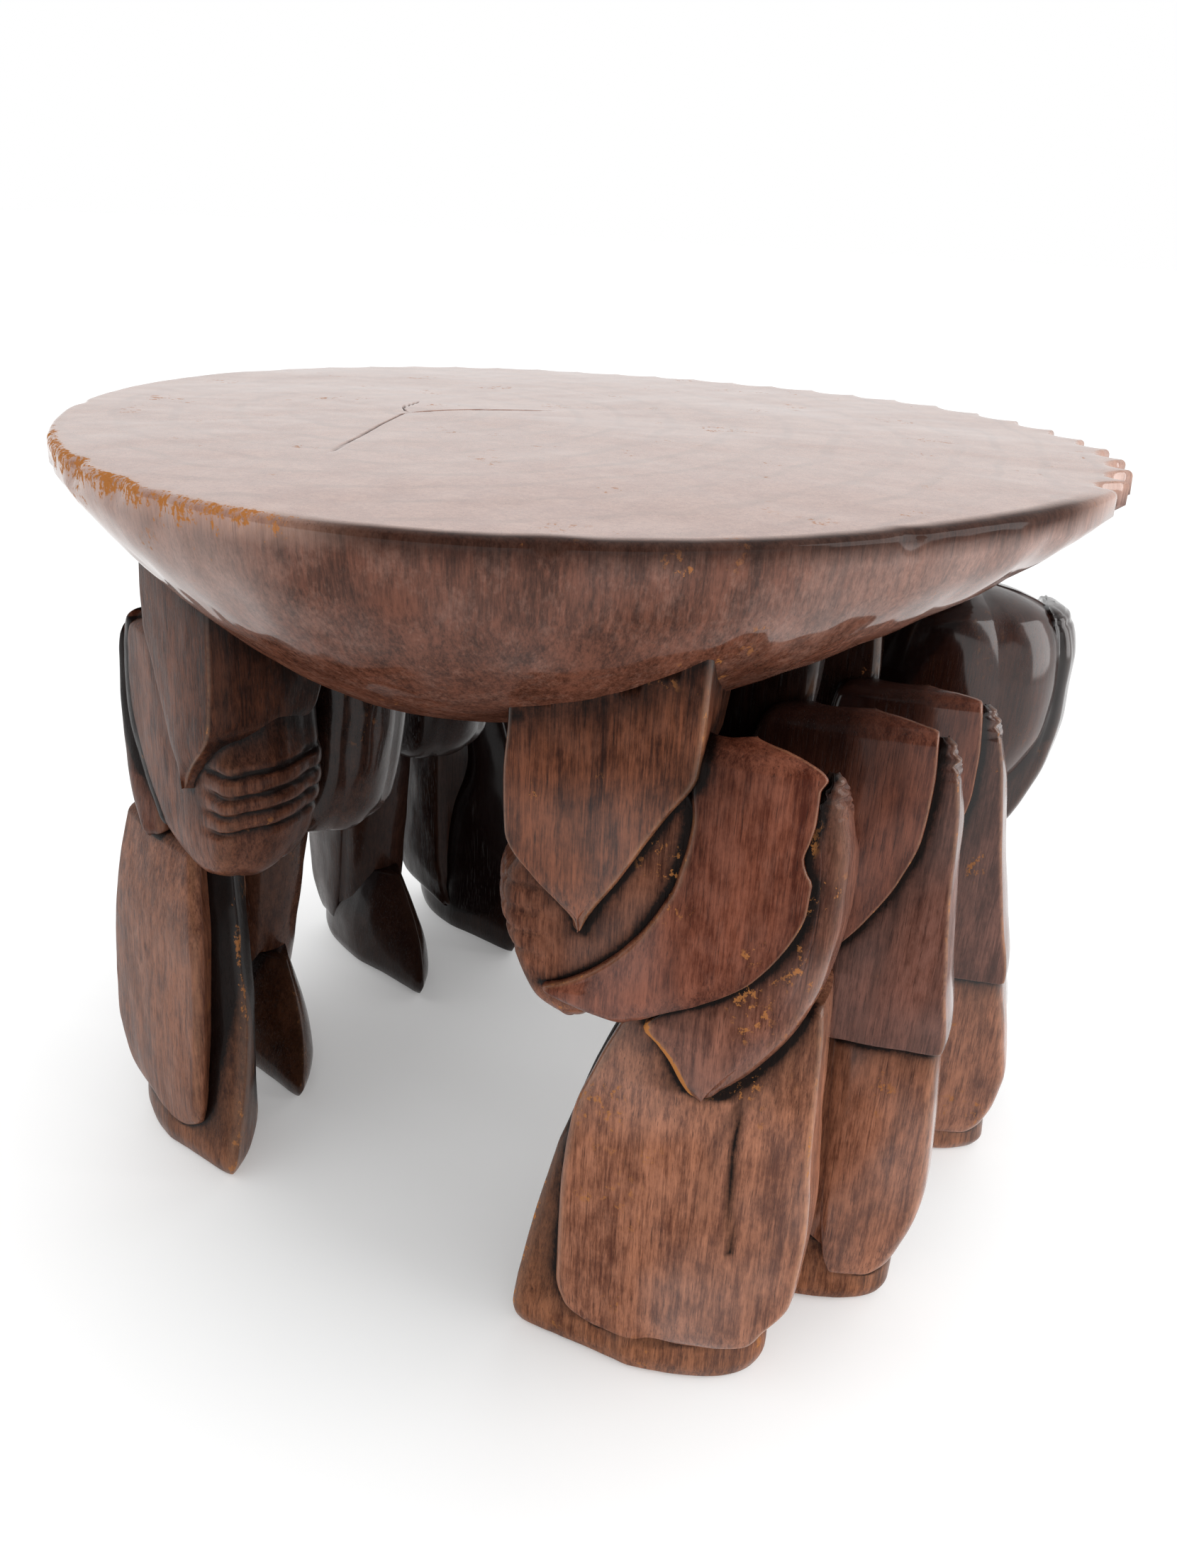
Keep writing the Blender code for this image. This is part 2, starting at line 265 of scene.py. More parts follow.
def span_node(tree, value, low, high, start=0.0, end=1.0):
    """Stretch low..high to start..end along an S-curve, and hold it there."""
    node = add_node(tree, 'ShaderNodeMapRange', {"interpolation_type": 'SMOOTHSTEP'},
                    Value=value, From_Min=low, From_Max=high, To_Min=start, To_Max=end)
    return node.outputs[0]


def blend_node(tree, share, first, second):
    """Blend two colours by a share."""
    return add_node(tree, 'ShaderNodeMix', {"data_type": 'RGBA'}, _0=share, _6=first, _7=second).outputs[2]


def stretched_noise(tree, place, across, along, detail, rough):
    """Noise whose grain is across per metre sideways and along per metre up the trunk."""
    squeeze = add_node(tree, 'ShaderNodeMapping', Vector=place, Scale=(across, across, along))
    noise = add_node(tree, 'ShaderNodeTexNoise', Vector=squeeze.outputs[0], Scale=1.0, Detail=detail,
                     Roughness=rough)
    return noise.outputs["Fac"]


grain_group, grain_in, grain_out = new_group(
    "trunk_grain", [("Place", 'NodeSocketVector', None)], (*FIBRES, "Ring", "Pore"))
tree = grain_group
centred = add_node(tree, 'ShaderNodeMapping', Vector=grain_in["Place"], Location=(-PITH[0], -PITH[1], 0.0))
rings_wave = add_node(tree, 'ShaderNodeTexWave', {"wave_type": 'RINGS', "rings_direction": 'Z'},
                      Vector=centred.outputs[0], Scale=11.0, Distortion=9.0, Detail=3.0, Detail_Scale=0.45,
                      Detail_Roughness=0.6)
tree.links.new(rings_wave.outputs["Fac"], grain_out["Ring"])
for part, size in FIBRES.items():
    tree.links.new(stretched_noise(tree, grain_in["Place"], *size), grain_out[part])
pore = stretched_noise(tree, grain_in["Place"], *PORES)
tree.links.new(span_node(tree, pore, *PORE_CUT), grain_out["Pore"])
print("grain group:", [item.name for item in grain_group.interface.items_tree])

# %% [markdown]
# ## Wear and painted shade
#
# Old varnish is worn through where hands and feet touch: on edges and on the rim, where raw orange wood
# shows, and in small clusters of flecks. In the hollows it is nearly black, partly from dirt and thick
# varnish and partly from painted shade. The wear and shade group turns the edge and hollow marks into masks,
# broken up by noise so that no edge is worn evenly.

# %% wear and painted shade group
WEAR_NOISE = {"patches": (75.0, 60.0, 6.0, 0.7), "fine": (480.0, 330.0, 4.0, 0.7),
              "clusters": (26.0, 22.0, 2.0, 0.6), "spots": (250.0, 190.0, 4.0, 0.7)}
PATCH_SHARE, RAGGEDNESS, FLECK_STRENGTH = 0.55, 0.75, 0.7

wear_and_shade_group, wear_and_shade_in, wear_and_shade_out = new_group(
    "varnish_wear_and_shade",
    [("Place", 'NodeSocketVector', None), ("Edge", 'NodeSocketFloat', 0.0),
     ("Hollow", 'NodeSocketFloat', 0.0), ("Bare", 'NodeSocketFloat', 0.5)], ("Pale", "Raw", "Dark"))
tree = wear_and_shade_group
patches, fine, clusters, spots = (stretched_noise(tree, wear_and_shade_in["Place"], *size)
                                  for size in WEAR_NOISE.values())
broken = math_node(tree, 'MULTIPLY_ADD', fine, 1.0 - PATCH_SHARE, times(tree, patches, PATCH_SHARE))
pale = times(tree, wear_and_shade_in["Edge"], span_node(tree, broken, 0.32, 0.62))
needed = math_node(tree, 'SUBTRACT', 1.0, times(tree, wear_and_shade_in["Edge"], wear_and_shade_in["Bare"]))
ragged = math_node(tree, 'SUBTRACT', broken, times(tree, needed, RAGGEDNESS))
fleck = times(tree, span_node(tree, spots, 0.56, 0.62), span_node(tree, clusters, 0.61, 0.69))
raw = math_node(tree, 'MAXIMUM', span_node(tree, ragged, 0.0, 0.05), times(tree, fleck, FLECK_STRENGTH))
# the Dark mask: dark varnish in the joints and painted shade, from the hollow mark
dark_varnish_and_shade = times(tree, wear_and_shade_in["Hollow"], span_node(tree, broken, 0.34, 0.63, 0.72, 1.0))
for mask, value in (("Pale", pale), ("Raw", raw), ("Dark", dark_varnish_and_shade)):
    tree.links.new(value, wear_and_shade_out[mask])
print("wear group:", [item.name for item in wear_and_shade_group.interface.items_tree])

# %% [markdown]
# ## The varnished finishes
#
# Each finish mixes a dark and a light brown along the streaks, darkens the rings and the pores, and lightens
# the edges down to raw wood. The hollows take a deep colour of their own, dark red under the top and nearly
# black on the figures, where it is dark varnish in the joints and painted shade elsewhere, and a little of
# the streaks still shows in it. Where the shade mark is set, painted shade makes the colour black, and the
# varnish there is smooth and glossy. A clear coat gives the wet shine: it is whole where the polish mark says
# so, patchy on the rest, and gone where the wood is raw. The flat face of the top is a paler brown, a painted
# reflection of the bright room in its varnish.

# %% finishes
STREAK_MIX = {"Broad": 0.20, "Streak": 0.30, "Fibre": 0.25, "Mottle": 0.25}
RELIEF_MIX = {"Pore": -0.6, "Streak": 0.5, "Fibre": 0.5, "Mottle": 0.8}
RELIEF_DEPTH, RELIEF_STRENGTH = 0.0006, 0.6
# SHADE_BLACK is the painted shade laid where the shade mark is set
RAW_WOOD, RUBBED_WOOD, SHADE_BLACK = (0.42, 0.165, 0.048), (0.42, 0.20, 0.10), (0.009, 0.0042, 0.0036)
PORE_STRENGTH, RUB_STRENGTH, BLACK_STRENGTH = 0.6, 0.55, 0.92
BLACK_SHINE, BARE_SHINE, TOP_COAT_IOR = 0.25, 0.08, 1.65
# BLACK, the deep colour of the figures' hollows, stands for dark varnish and painted shade
BLACK, RED = (0.006, 0.0022, 0.0014), (0.098, 0.036, 0.022)


def weighed(tree, parts, shares):
    """Sum of the grain's parts, each times its share."""
    total = 0.0
    for part, share in shares.items():
        total = math_node(tree, 'MULTIPLY_ADD', parts[part], share, total)
    return total


def tinted(colour, strength=1.0):
    """An opaque colour, made stronger or weaker."""
    return (*(strength * np.array(colour)), 1.0)


def wood_colour(tree, grain, wear_and_shade, shade, dark, light, deep, ring_share):
    """Brown along the streaks, with rings, pores, rubbed edges, hollows of dark varnish and painted shade,
    black painted shade and raw flakes laid over it in turn; the mask of the flakes is given back too."""
    streaks = span_node(tree, weighed(tree, grain, STREAK_MIX), 0.39, 0.61)
    ring = times(tree, span_node(tree, grain["Ring"], 0.80, 0.99),
                 span_node(tree, grain["Broad"], 0.38, 0.62, 0.2 * ring_share, ring_share))
    pore = times(tree, grain["Pore"], PORE_STRENGTH)
    rubbed = times(tree, wear_and_shade["Pale"], RUB_STRENGTH)
    # the hollows' deep colour is dark varnish and painted shade; the black share is painted shade
    hollow = blend_node(tree, streaks, tinted(deep, 0.4), tinted(deep, 1.75))
    black = times(tree, shade, BLACK_STRENGTH)
    flake = times(tree, wear_and_shade["Raw"], math_node(tree, 'SUBTRACT', 1.0, shade))
    colour = blend_node(tree, streaks, tinted(dark), tinted(light))
    for share, laid in ((ring, tinted(dark, 0.45)), (pore, tinted(dark, 0.35)), (rubbed, tinted(RUBBED_WOOD)),
                        (wear_and_shade["Dark"], hollow), (black, tinted(SHADE_BLACK)), (flake, tinted(RAW_WOOD))):
        colour = blend_node(tree, share, colour, laid)
    return colour, flake


def varnished(name, dark, light, wear_move, bare, gloss, deep=BLACK, coat=0.20, ring_share=0.3):
    """One varnished wood. Colours are linear, and deep is that of hollows. From 0 to 1, bare is how worn the
    edges are, gloss how smooth the varnish is and coat how it shines where patchy. The wear is moved by
    wear_move, so that no two finishes are worn alike."""
    made = bpy.data.materials.new(name)
    made.use_nodes = True
    tree = made.node_tree
    shader = tree.nodes["Principled BSDF"].inputs
    place = add_node(tree, 'ShaderNodeTexCoord').outputs["Object"]
    moved = add_node(tree, 'ShaderNodeMapping', Vector=place, Location=(wear_move, 0.0, 0.0)).outputs[0]
    edge, hollow, shade, polish = (
        add_node(tree, 'ShaderNodeAttribute', {"attribute_name": mark}).outputs["Fac"]
        for mark in MARKS)
    grain = add_node(tree, 'ShaderNodeGroup', {"node_tree": grain_group}, Place=place).outputs
    wear_and_shade = add_node(tree, 'ShaderNodeGroup', {"node_tree": wear_and_shade_group},
                    Place=moved, Edge=edge, Hollow=hollow, Bare=bare).outputs
    colour, flake = wood_colour(tree, grain, wear_and_shade, shade, dark, light, deep, ring_share)
    tree.links.new(colour, shader["Base Color"])
    rough = span_node(tree, grain["Mottle"], 0.3, 0.7, 0.50 - 0.3 * gloss, 0.66 - 0.3 * gloss)
    rough = math_node(tree, 'MULTIPLY_ADD', flake, 0.25, rough)
    rough = times(tree, rough, math_node(tree, 'MULTIPLY_ADD', shade, -0.6, 1.0))
    tree.links.new(rough, shader["Roughness"])
    patchy = times(tree, span_node(tree, grain["Mottle"], 0.42, 0.62, 0.1 * coat, coat),
                   math_node(tree, 'MULTIPLY_ADD', wear_and_shade["Dark"], -0.8, 1.0))
    whole = math_node(tree, 'MAXIMUM', times(tree, shade, BLACK_SHINE), polish)
    shine = times(tree, math_node(tree, 'MAXIMUM', patchy, whole), math_node(tree, 'SUBTRACT', 1.0, flake))
    tree.links.new(shine, shader["Coat Weight"])
    shader["Coat Roughness"].default_value = 0.20 - 0.14 * gloss
    shader["Specular IOR Level"].default_value = BARE_SHINE
    bump = add_node(tree, 'ShaderNodeBump', Strength=RELIEF_STRENGTH, Distance=RELIEF_DEPTH,
                    Height=weighed(tree, grain, RELIEF_MIX))
    tree.links.new(bump.outputs[0], shader["Normal"])
    return made


WOODS = {
    # the top's face colours are pale brown, a painted reflection of the bright room in its varnish
    "top": ((0.310, 0.165, 0.128), (0.450, 0.268, 0.208), 0.0, 0.42, 0.85, RED, 0.0),
    "arm": ((0.030, 0.007, 0.003), (0.265, 0.086, 0.040), 0.4, 0.26, 0.5),
    "post": ((0.006, 0.002, 0.0015), (0.020, 0.007, 0.004), 1.1, 0.20, 0.95, BLACK, 1.0, 0.2),
    "body": ((0.055, 0.012, 0.005), (0.350, 0.130, 0.070), 1.9, 0.26, 0.5),
    "hood": ((0.064, 0.012, 0.005), (0.265, 0.084, 0.046), 2.3, 0.26, 0.5),
    "sleeve": ((0.064, 0.015, 0.007), (0.285, 0.108, 0.066), 3.1, 0.28, 0.5),
    "robe": ((0.060, 0.018, 0.011), (0.225, 0.092, 0.064), 3.7, 0.26, 0.5),
    "leg": ((0.098, 0.031, 0.017), (0.415, 0.168, 0.092), 4.3, 0.28, 0.4),
    "foot": ((0.080, 0.024, 0.011), (0.360, 0.140, 0.066), 5.2, 0.36, 0.4),
}
finishes = {"wood_" + wood: varnished("varnished_" + wood, *values) for wood, values in WOODS.items()}
top_shader = finishes["wood_top"].node_tree.nodes["Principled BSDF"].inputs
top_shader["Coat IOR"].default_value = TOP_COAT_IOR
top_shader["Specular IOR Level"].default_value = 0.0
print("finishes:", ", ".join(finishes))

# %% [markdown]
# ## The top and its bowl
#
# The top is a slightly oval disc, a little three-cornered, as the trunk may have been. Its rim has pointed
# teeth round the back half, deepest at the right, that run down into the bowl as flutes. It could be turned
# on a lathe in Blender, but then the teeth and the off-centre bowl would have to be cut afterwards. As a
# function of the angle and of a share of the way out it is one surface, and the same function later tells the
# figures where the bowl is.

# %% shape of the top
TABLE_HEIGHT = 0.460
TOP_CENTRE = np.array((0.0034, 0.0057))
TOP_SHORT, TOP_LONG, TOP_LONG_AXIS = 0.265, 0.290, np.radians(27.0)
RIM_LOBE, RIM_LOBE_AXIS = 0.0088, np.radians(42.0)
RIM_EDGE, BOWL_DEPTH = 0.012, 0.150
BOWL_LOW = np.array((-0.060, -0.055))
BOWL_FRONT, FRONT_CURVE, SIDE_CURVE, BOTTOM_CURVE = np.radians(-57.0), 0.45, 1.20, 1.3
TOOTH_COUNT, TOOTH_FIRST, TOOTH_LAST = 26, np.radians(4.0), np.radians(174.0)
TOOTH_DEEP, TOOTH_SHALLOW, TOOTH_CURVE, FLUTE_REACH = 0.0125, 0.0025, 0.8, 0.070
FIRST_SHARE, TRIES = 0.7, 30


def rim_radius(angle):
    """Rim radius: that of an ellipse, plus a small three-fold wave."""
    turned = angle - TOP_LONG_AXIS
    oval = TOP_SHORT * TOP_LONG / np.hypot(TOP_SHORT * np.cos(turned), TOP_LONG * np.sin(turned))
    return oval + RIM_LOBE * np.cos(3.0 * (angle - RIM_LOBE_AXIS))


def tooth_cut(angle):
    """Depth of the teeth: half waves between pointed tips, growing shallow from the first to the last."""
    along = (np.mod(angle, 2.0 * np.pi) - TOOTH_FIRST) / (TOOTH_LAST - TOOTH_FIRST)
    deep = TOOTH_DEEP + (TOOTH_SHALLOW - TOOTH_DEEP) * along
    wave = np.abs(np.sin(np.pi * TOOTH_COUNT * along)) ** TOOTH_CURVE
    return np.where((along > 0.0) & (along < 1.0), deep * wave, 0.0)


def bowl_point(angle, share):
    """Bowl point at a share of the way out: the ring shrinks and slides to the lowest point as it falls.

    The offset is 1 less a power of the share. The fall is a power of the offset, small at the front, where
    the bowl is full, and large at the sides, where it is hollow.
    """
    offset = 1.0 - share ** BOTTOM_CURVE
    radius = rim_radius(angle)
    fade = np.maximum(0.0, 1.0 - radius * (1.0 - share) / FLUTE_REACH)
    reach = radius * share - tooth_cut(angle) * fade
    power = SIDE_CURVE + (FRONT_CURVE - SIDE_CURVE) * np.maximum(0.0, np.cos(angle - BOWL_FRONT))
    level = TABLE_HEIGHT - RIM_EDGE - (BOWL_DEPTH - RIM_EDGE) * offset ** power
    return np.stack((TOP_CENTRE[0] + BOWL_LOW[0] * offset + reach * np.cos(angle),
                     TOP_CENTRE[1] + BOWL_LOW[1] * offset + reach * np.sin(angle), level), axis=-1)


def bowl_height(x, y):
    """Height of the bowl over a place on the floor: its share of the way out is found by trying again from
    the ring that the last try gave."""
    share = np.full(x.shape, FIRST_SHARE)
    for _ in range(TRIES):
        offset = 1.0 - share ** BOTTOM_CURVE
        across = x - TOP_CENTRE[0] - BOWL_LOW[0] * offset
        along = y - TOP_CENTRE[1] - BOWL_LOW[1] * offset
        angle = np.arctan2(along, across)
        share = np.clip(np.hypot(across, along) / rim_radius(angle), 0.0, 1.0)
    return bowl_point(angle, share)[..., 2]


print("bowl over the middle, m:", bowl_height(np.zeros(1), np.zeros(1)).round(4))

# %% [markdown]
# The columns of the top's grid are closer where the teeth are. The rows start at the bowl's lowest point,
# climb the bowl, turn over the rim and run in over the flat face to the pith. They end there and not in the
# middle, because the checks in the wood run out from the pith, and a groove is sharpest along a grid line.

# %% top
FACE_ROWS, RIM_ROWS, BOWL_ROWS = 44, 12, 84
TOOTH_COLUMNS, PLAIN_COLUMNS, BOWL_SPREAD = 11, 320, 0.8
RIM_ROUND, FACE_GOUGING = 0.0035, 0.25
CHECKS = [([PITH, (-0.075, 0.003), (-0.043, 0.0318)], 0.0007, 0.0026),
          ([PITH, (-0.078, -0.072), (-0.0437, -0.1493)], 0.0005, 0.0010),
          ([PITH, (-0.107, -0.016), (-0.112, 0.004)], 0.0005, 0.0012)]
NICKS = [(-113.5, 1.6, 0.004), (-104.0, 2.2, 0.003), (-97.0, 1.2, 0.002), (-62.0, 2.5, 0.0022),
         (-30.0, 1.5, 0.002), (-150.0, 2.0, 0.003)]

angles = np.concatenate((
    np.linspace(TOOTH_FIRST, TOOTH_LAST, TOOTH_COUNT * TOOTH_COLUMNS, endpoint=False),
    np.linspace(TOOTH_LAST, 2.0 * np.pi + TOOTH_FIRST, PLAIN_COLUMNS, endpoint=False)))
degrees = np.mod(np.degrees(angles) + 180.0, 360.0) - 180.0
nick = sum(depth * np.exp(-((degrees - at) / wide) ** 2) for at, wide, depth in NICKS)
rim_edge = bowl_point(angles, np.ones_like(angles))
to_middle = np.append(TOP_CENTRE, 0.0) - rim_edge * (1.0, 1.0, 0.0)
to_middle /= np.linalg.norm(to_middle, axis=-1, keepdims=True)

bowl_share = np.linspace(0.0, 1.0, BOWL_ROWS + 1)[1:, None] ** BOWL_SPREAD
bowl_part = bowl_point(angles[None], np.broadcast_to(bowl_share, (BOWL_ROWS, len(angles))))
turn = np.linspace(0.0, np.pi / 2.0, RIM_ROWS)[:, None]
inset = nick + RIM_ROUND * (1.0 - np.cos(turn))
rim_part = rim_edge + to_middle * inset[..., None]
rim_part[..., 2] = TABLE_HEIGHT - RIM_ROUND + RIM_ROUND * np.sin(turn)
face_share = np.linspace(1.0, 0.0, FACE_ROWS + 1)[1:-1, None, None]
pith_point = np.array((*PITH, TABLE_HEIGHT))
face_part = pith_point + (rim_part[-1] - pith_point) * face_share
top_rings = np.concatenate((bowl_part, rim_part, face_part))

under, on_turn, on_face = np.repeat(np.eye(3), (BOWL_ROWS, RIM_ROWS, FACE_ROWS - 1), axis=1)[..., None]
gouge = (0.0008 * lumps(top_rings, (0.022, 0.022, 0.030), 3)
         + 0.0003 * lumps(top_rings, (0.009, 0.009, 0.014), 4))
wavy = 0.0006 * lumps(top_rings, (0.060, 0.060, 0.060), 5)
raised = gouge * (FACE_GOUGING + (1.0 - FACE_GOUGING) * under) + wavy
top_rings = top_rings + outward(top_rings) * raised[..., None]
check_mark = np.zeros(top_rings.shape[:2])
for line, wide, deep in CHECKS:
    distance = line_distance(top_rings[..., 0], top_rings[..., 1], line)
    groove = np.exp(-(distance / wide) ** 2) * on_face
    top_rings[..., 2] -= deep * groove
    check_mark = np.maximum(check_mark, groove)
print("rim, m across:", np.ptp(top_rings[..., :2], axis=(0, 1)).round(4))

# %% [markdown]
# The finish of the top follows from where a point lies. Raw wood shows along the rim, most at the front left,
# and a dark line is left on the rim at the front right. Under it the bowl is dark red: paler and glossy at
# the two sides, where the paler colour is a painted sheen, flaked in front just below the rim, and dull and
# nearly black low down, where the black is painted shade. Soft clouds break this up.

# %% finish of the top
WORN_AT, PICTURE_RIGHT = np.radians(-108.0), np.radians(29.3)
RIM_FADE, FACE_FADE = 0.0028, 0.0025

front = smooth_step(0.80, 0.98, np.cos(angles - WORN_AT))
side_on = smooth_step(0.15, 0.75, np.abs(np.cos(angles - PICTURE_RIGHT)))
left_on = smooth_step(0.25, 0.85, -np.cos(angles - PICTURE_RIGHT))
rim_line = on_turn * (smooth_step(-88.0, -74.0, degrees) * smooth_step(5.0, -12.0, degrees))
cloud = lumps(top_rings, (0.055, 0.055, 0.030), 6) + 0.6 * lumps(top_rings, (0.020, 0.020, 0.012), 7)

below_rim = np.exp(-np.maximum(0.0, TABLE_HEIGHT - RIM_ROUND - top_rings[..., 2]) / RIM_FADE)
from_rim = np.linalg.norm(top_rings - top_rings[BOWL_ROWS + RIM_ROWS - 1], axis=-1)
on_rim = np.where(on_face > 0.0, np.exp(-from_rim / FACE_FADE), below_rim)
low = np.clip((TABLE_HEIGHT - top_rings[..., 2]) / BOWL_DEPTH, 0.0, 1.0)

flaked = under * (0.05 + 0.15 * front + 0.30 * front * smooth_step(0.50, 0.05, low))
top_edge = np.clip(on_rim * (0.42 + 0.50 * front) + flaked, 0.0, 1.0)
flute = tooth_cut(angles) / TOOTH_DEEP * under * below_rim
# painted sheen: the two sides of the bowl take less of the deep red, so they look paler
painted_sheen = (0.25 * side_on + 0.30 * left_on) * smooth_step(0.55, 0.15, low)
red_less_sheen = 1.15 - 1.4 * painted_sheen + 0.10 * cloud
top_hollow = np.clip(check_mark + under * red_less_sheen + 0.8 * flute + rim_line, 0.0, 1.3)
# painted shade: the low part of the bowl is made nearly black
low_shade = 0.42 * under * smooth_step(0.30, 0.95, low)
top_shade = np.clip(check_mark + 0.8 * rim_line + low_shade, 0.0, 1.0)
shiny = 0.34 + 0.66 * side_on - 0.30 * cloud
shiny = shiny * (1.0 - 0.92 * smooth_step(0.22, 0.60, low)) * (1.0 - 0.7 * below_rim)
top_polish = np.where(under > 0.0, np.clip(shiny, 0.0, 1.0), 1.0)
top_polish = top_polish * (1.0 - check_mark) * (1.0 - 0.9 * rim_line)
table_top = add_skin("carved_top", top_rings, top_edge, top_hollow, top_shade, top_polish)
stand_for(table_top, "top", "wood_top")
print("top:", len(table_top.data.polygons), "faces")

# %% [markdown]
# ## How a figure's pieces are drawn
#
# Each figure is a thick board that stands on edge, carved on both flanks. So a piece is drawn as on the
# board: for each height, where it begins on the toe side and ends on the heel side, and how far it reaches
# through the board. A ring at that height is a rectangle with rounded corners between these four, its faces
# slightly full. Sharp corners give the crisp carved edges of the photograph, and large ones give the bulging
# bodies. All drawn lengths are in millimetres from the toe's place on the floor.

# %% boards
CORNERS = np.array(((-1.0, -1.0), (1.0, -1.0), (1.0, 1.0), (-1.0, 1.0)))
FACE_COLUMNS, CORNER_COLUMNS, SIDE_COLUMNS, BOARD_ROWS = 34, 6, 18, 96
FULLEST_CORNER, SHARP_CORNER, ROOF_REACH = 0.96, 4.0, 70.0


def section_columns():
    """Once round a board's section: how far along (-1 toe, 1 heel), how far through (-1 near, 1 far), and
    which way the surface looks (turn, -90 degrees on the near face)."""
    bend = np.linspace(0.0, np.pi / 2.0, CORNER_COLUMNS, endpoint=False)
    places, looks = [], []
    for quarter, columns in enumerate((FACE_COLUMNS, SIDE_COLUMNS, FACE_COLUMNS, SIDE_COLUMNS)):
        start, end = CORNERS[quarter], CORNERS[(quarter + 1) % 4]
        facing = (quarter - 1) * np.pi / 2.0
        places += [np.linspace(start, end, columns, endpoint=False), np.tile(end, (CORNER_COLUMNS, 1))]
        looks += [np.full(columns, facing), facing + bend]
    return (*np.concatenate(places).T, np.concatenate(looks))


ALONG, THROUGH, LOOKS = section_columns()


def rounding(past, radius):
    """How far a flank has curved in, past the start of a rounded end: a quarter of a circle."""
    return radius * (1.0 - np.sqrt(1.0 - np.clip(past / radius, 0.0, 1.0) ** 2)) if radius else 0.0


def span_at(shape, height):
    """Toe, heel, near and far of a drawn piece at a height; both flanks curve in at its rounded ends."""
    low, high = shape["toe"][0][0], shape["toe"][-1][0]
    low_round, high_round = shape.get("ends", (0.0, 0.0))
    inward = rounding(low + low_round - height, low_round) + rounding(height - high + high_round, high_round)
    return (through(shape["toe"], height), through(shape["heel"], height),
            through(shape["near"], height) + inward, through(shape["far"], height) - inward)


def board_rings(shape):
    """Rings of a drawn piece: rounded rectangles, faces raised by crown x (1 - along^2), sides by bulge x
    (1 - through^2), rows closest together at the ends. Near the top the far flank falls away, like a roof."""
    low, high = shape["toe"][0][0], shape["toe"][-1][0]
    height = (low + (high - low) * (1.0 - np.cos(np.linspace(0.0, np.pi, BOARD_ROWS))) / 2.0)[:, None]
    toe, heel, near, far = span_at(shape, height)
    half_long, half_thick = (heel - toe) / 2.0, (far - near) / 2.0
    toe_soft, heel_soft = shape["soft"]
    soft = np.minimum(toe_soft + (heel_soft - toe_soft) * (ALONG + 1.0) / 2.0,
                      FULLEST_CORNER * np.minimum(half_long, half_thick))
    toe_bulge, heel_bulge = shape.get("bulge", (0.0, 0.0))
    bulge = np.where(ALONG < 0.0, -toe_bulge, heel_bulge) * (1.0 - THROUGH ** 2)
    s = (toe + heel) / 2.0 + ALONG * (half_long - soft) + soft * np.cos(LOOKS) + bulge
    s = s + shape.get("slant", 0.0) * half_long * (1.0 - ALONG) * (1.0 + THROUGH) / 2.0
    w = (near + far) / 2.0 + THROUGH * (half_thick - soft) + soft * np.sin(LOOKS)
    w = w + shape.get("crown", 0.0) * THROUGH * (1.0 - ALONG ** 2)
    edge = np.sin(2.0 * LOOKS) ** 2 * np.clip(SHARP_CORNER / np.maximum(soft, 0.1), 0.0, 1.0)
    roof = shape.get("fall", 0.0) * smooth_step(high - ROOF_REACH, high, height) * (1.0 + THROUGH) / 2.0
    return np.stack((s, w, height - roof), axis=-1), edge


print("columns round a board:", len(ALONG), "rows:", BOARD_ROWS)

# %% [markdown]
# ## End figures
#
# The four figures at the corners have a block with a V-shaped lower end that carries the bowl, a bulging body
# under it, a hood like a large leaf whose wavy edge stands proud of the sleeve behind it, and a flat leg over
# a pointed foot. The outlines were drawn on the flank of the front right figure, which shows best. The back
# right figure has a fuller dome for a hood, and the left ones a wider body with narrow strips behind it.

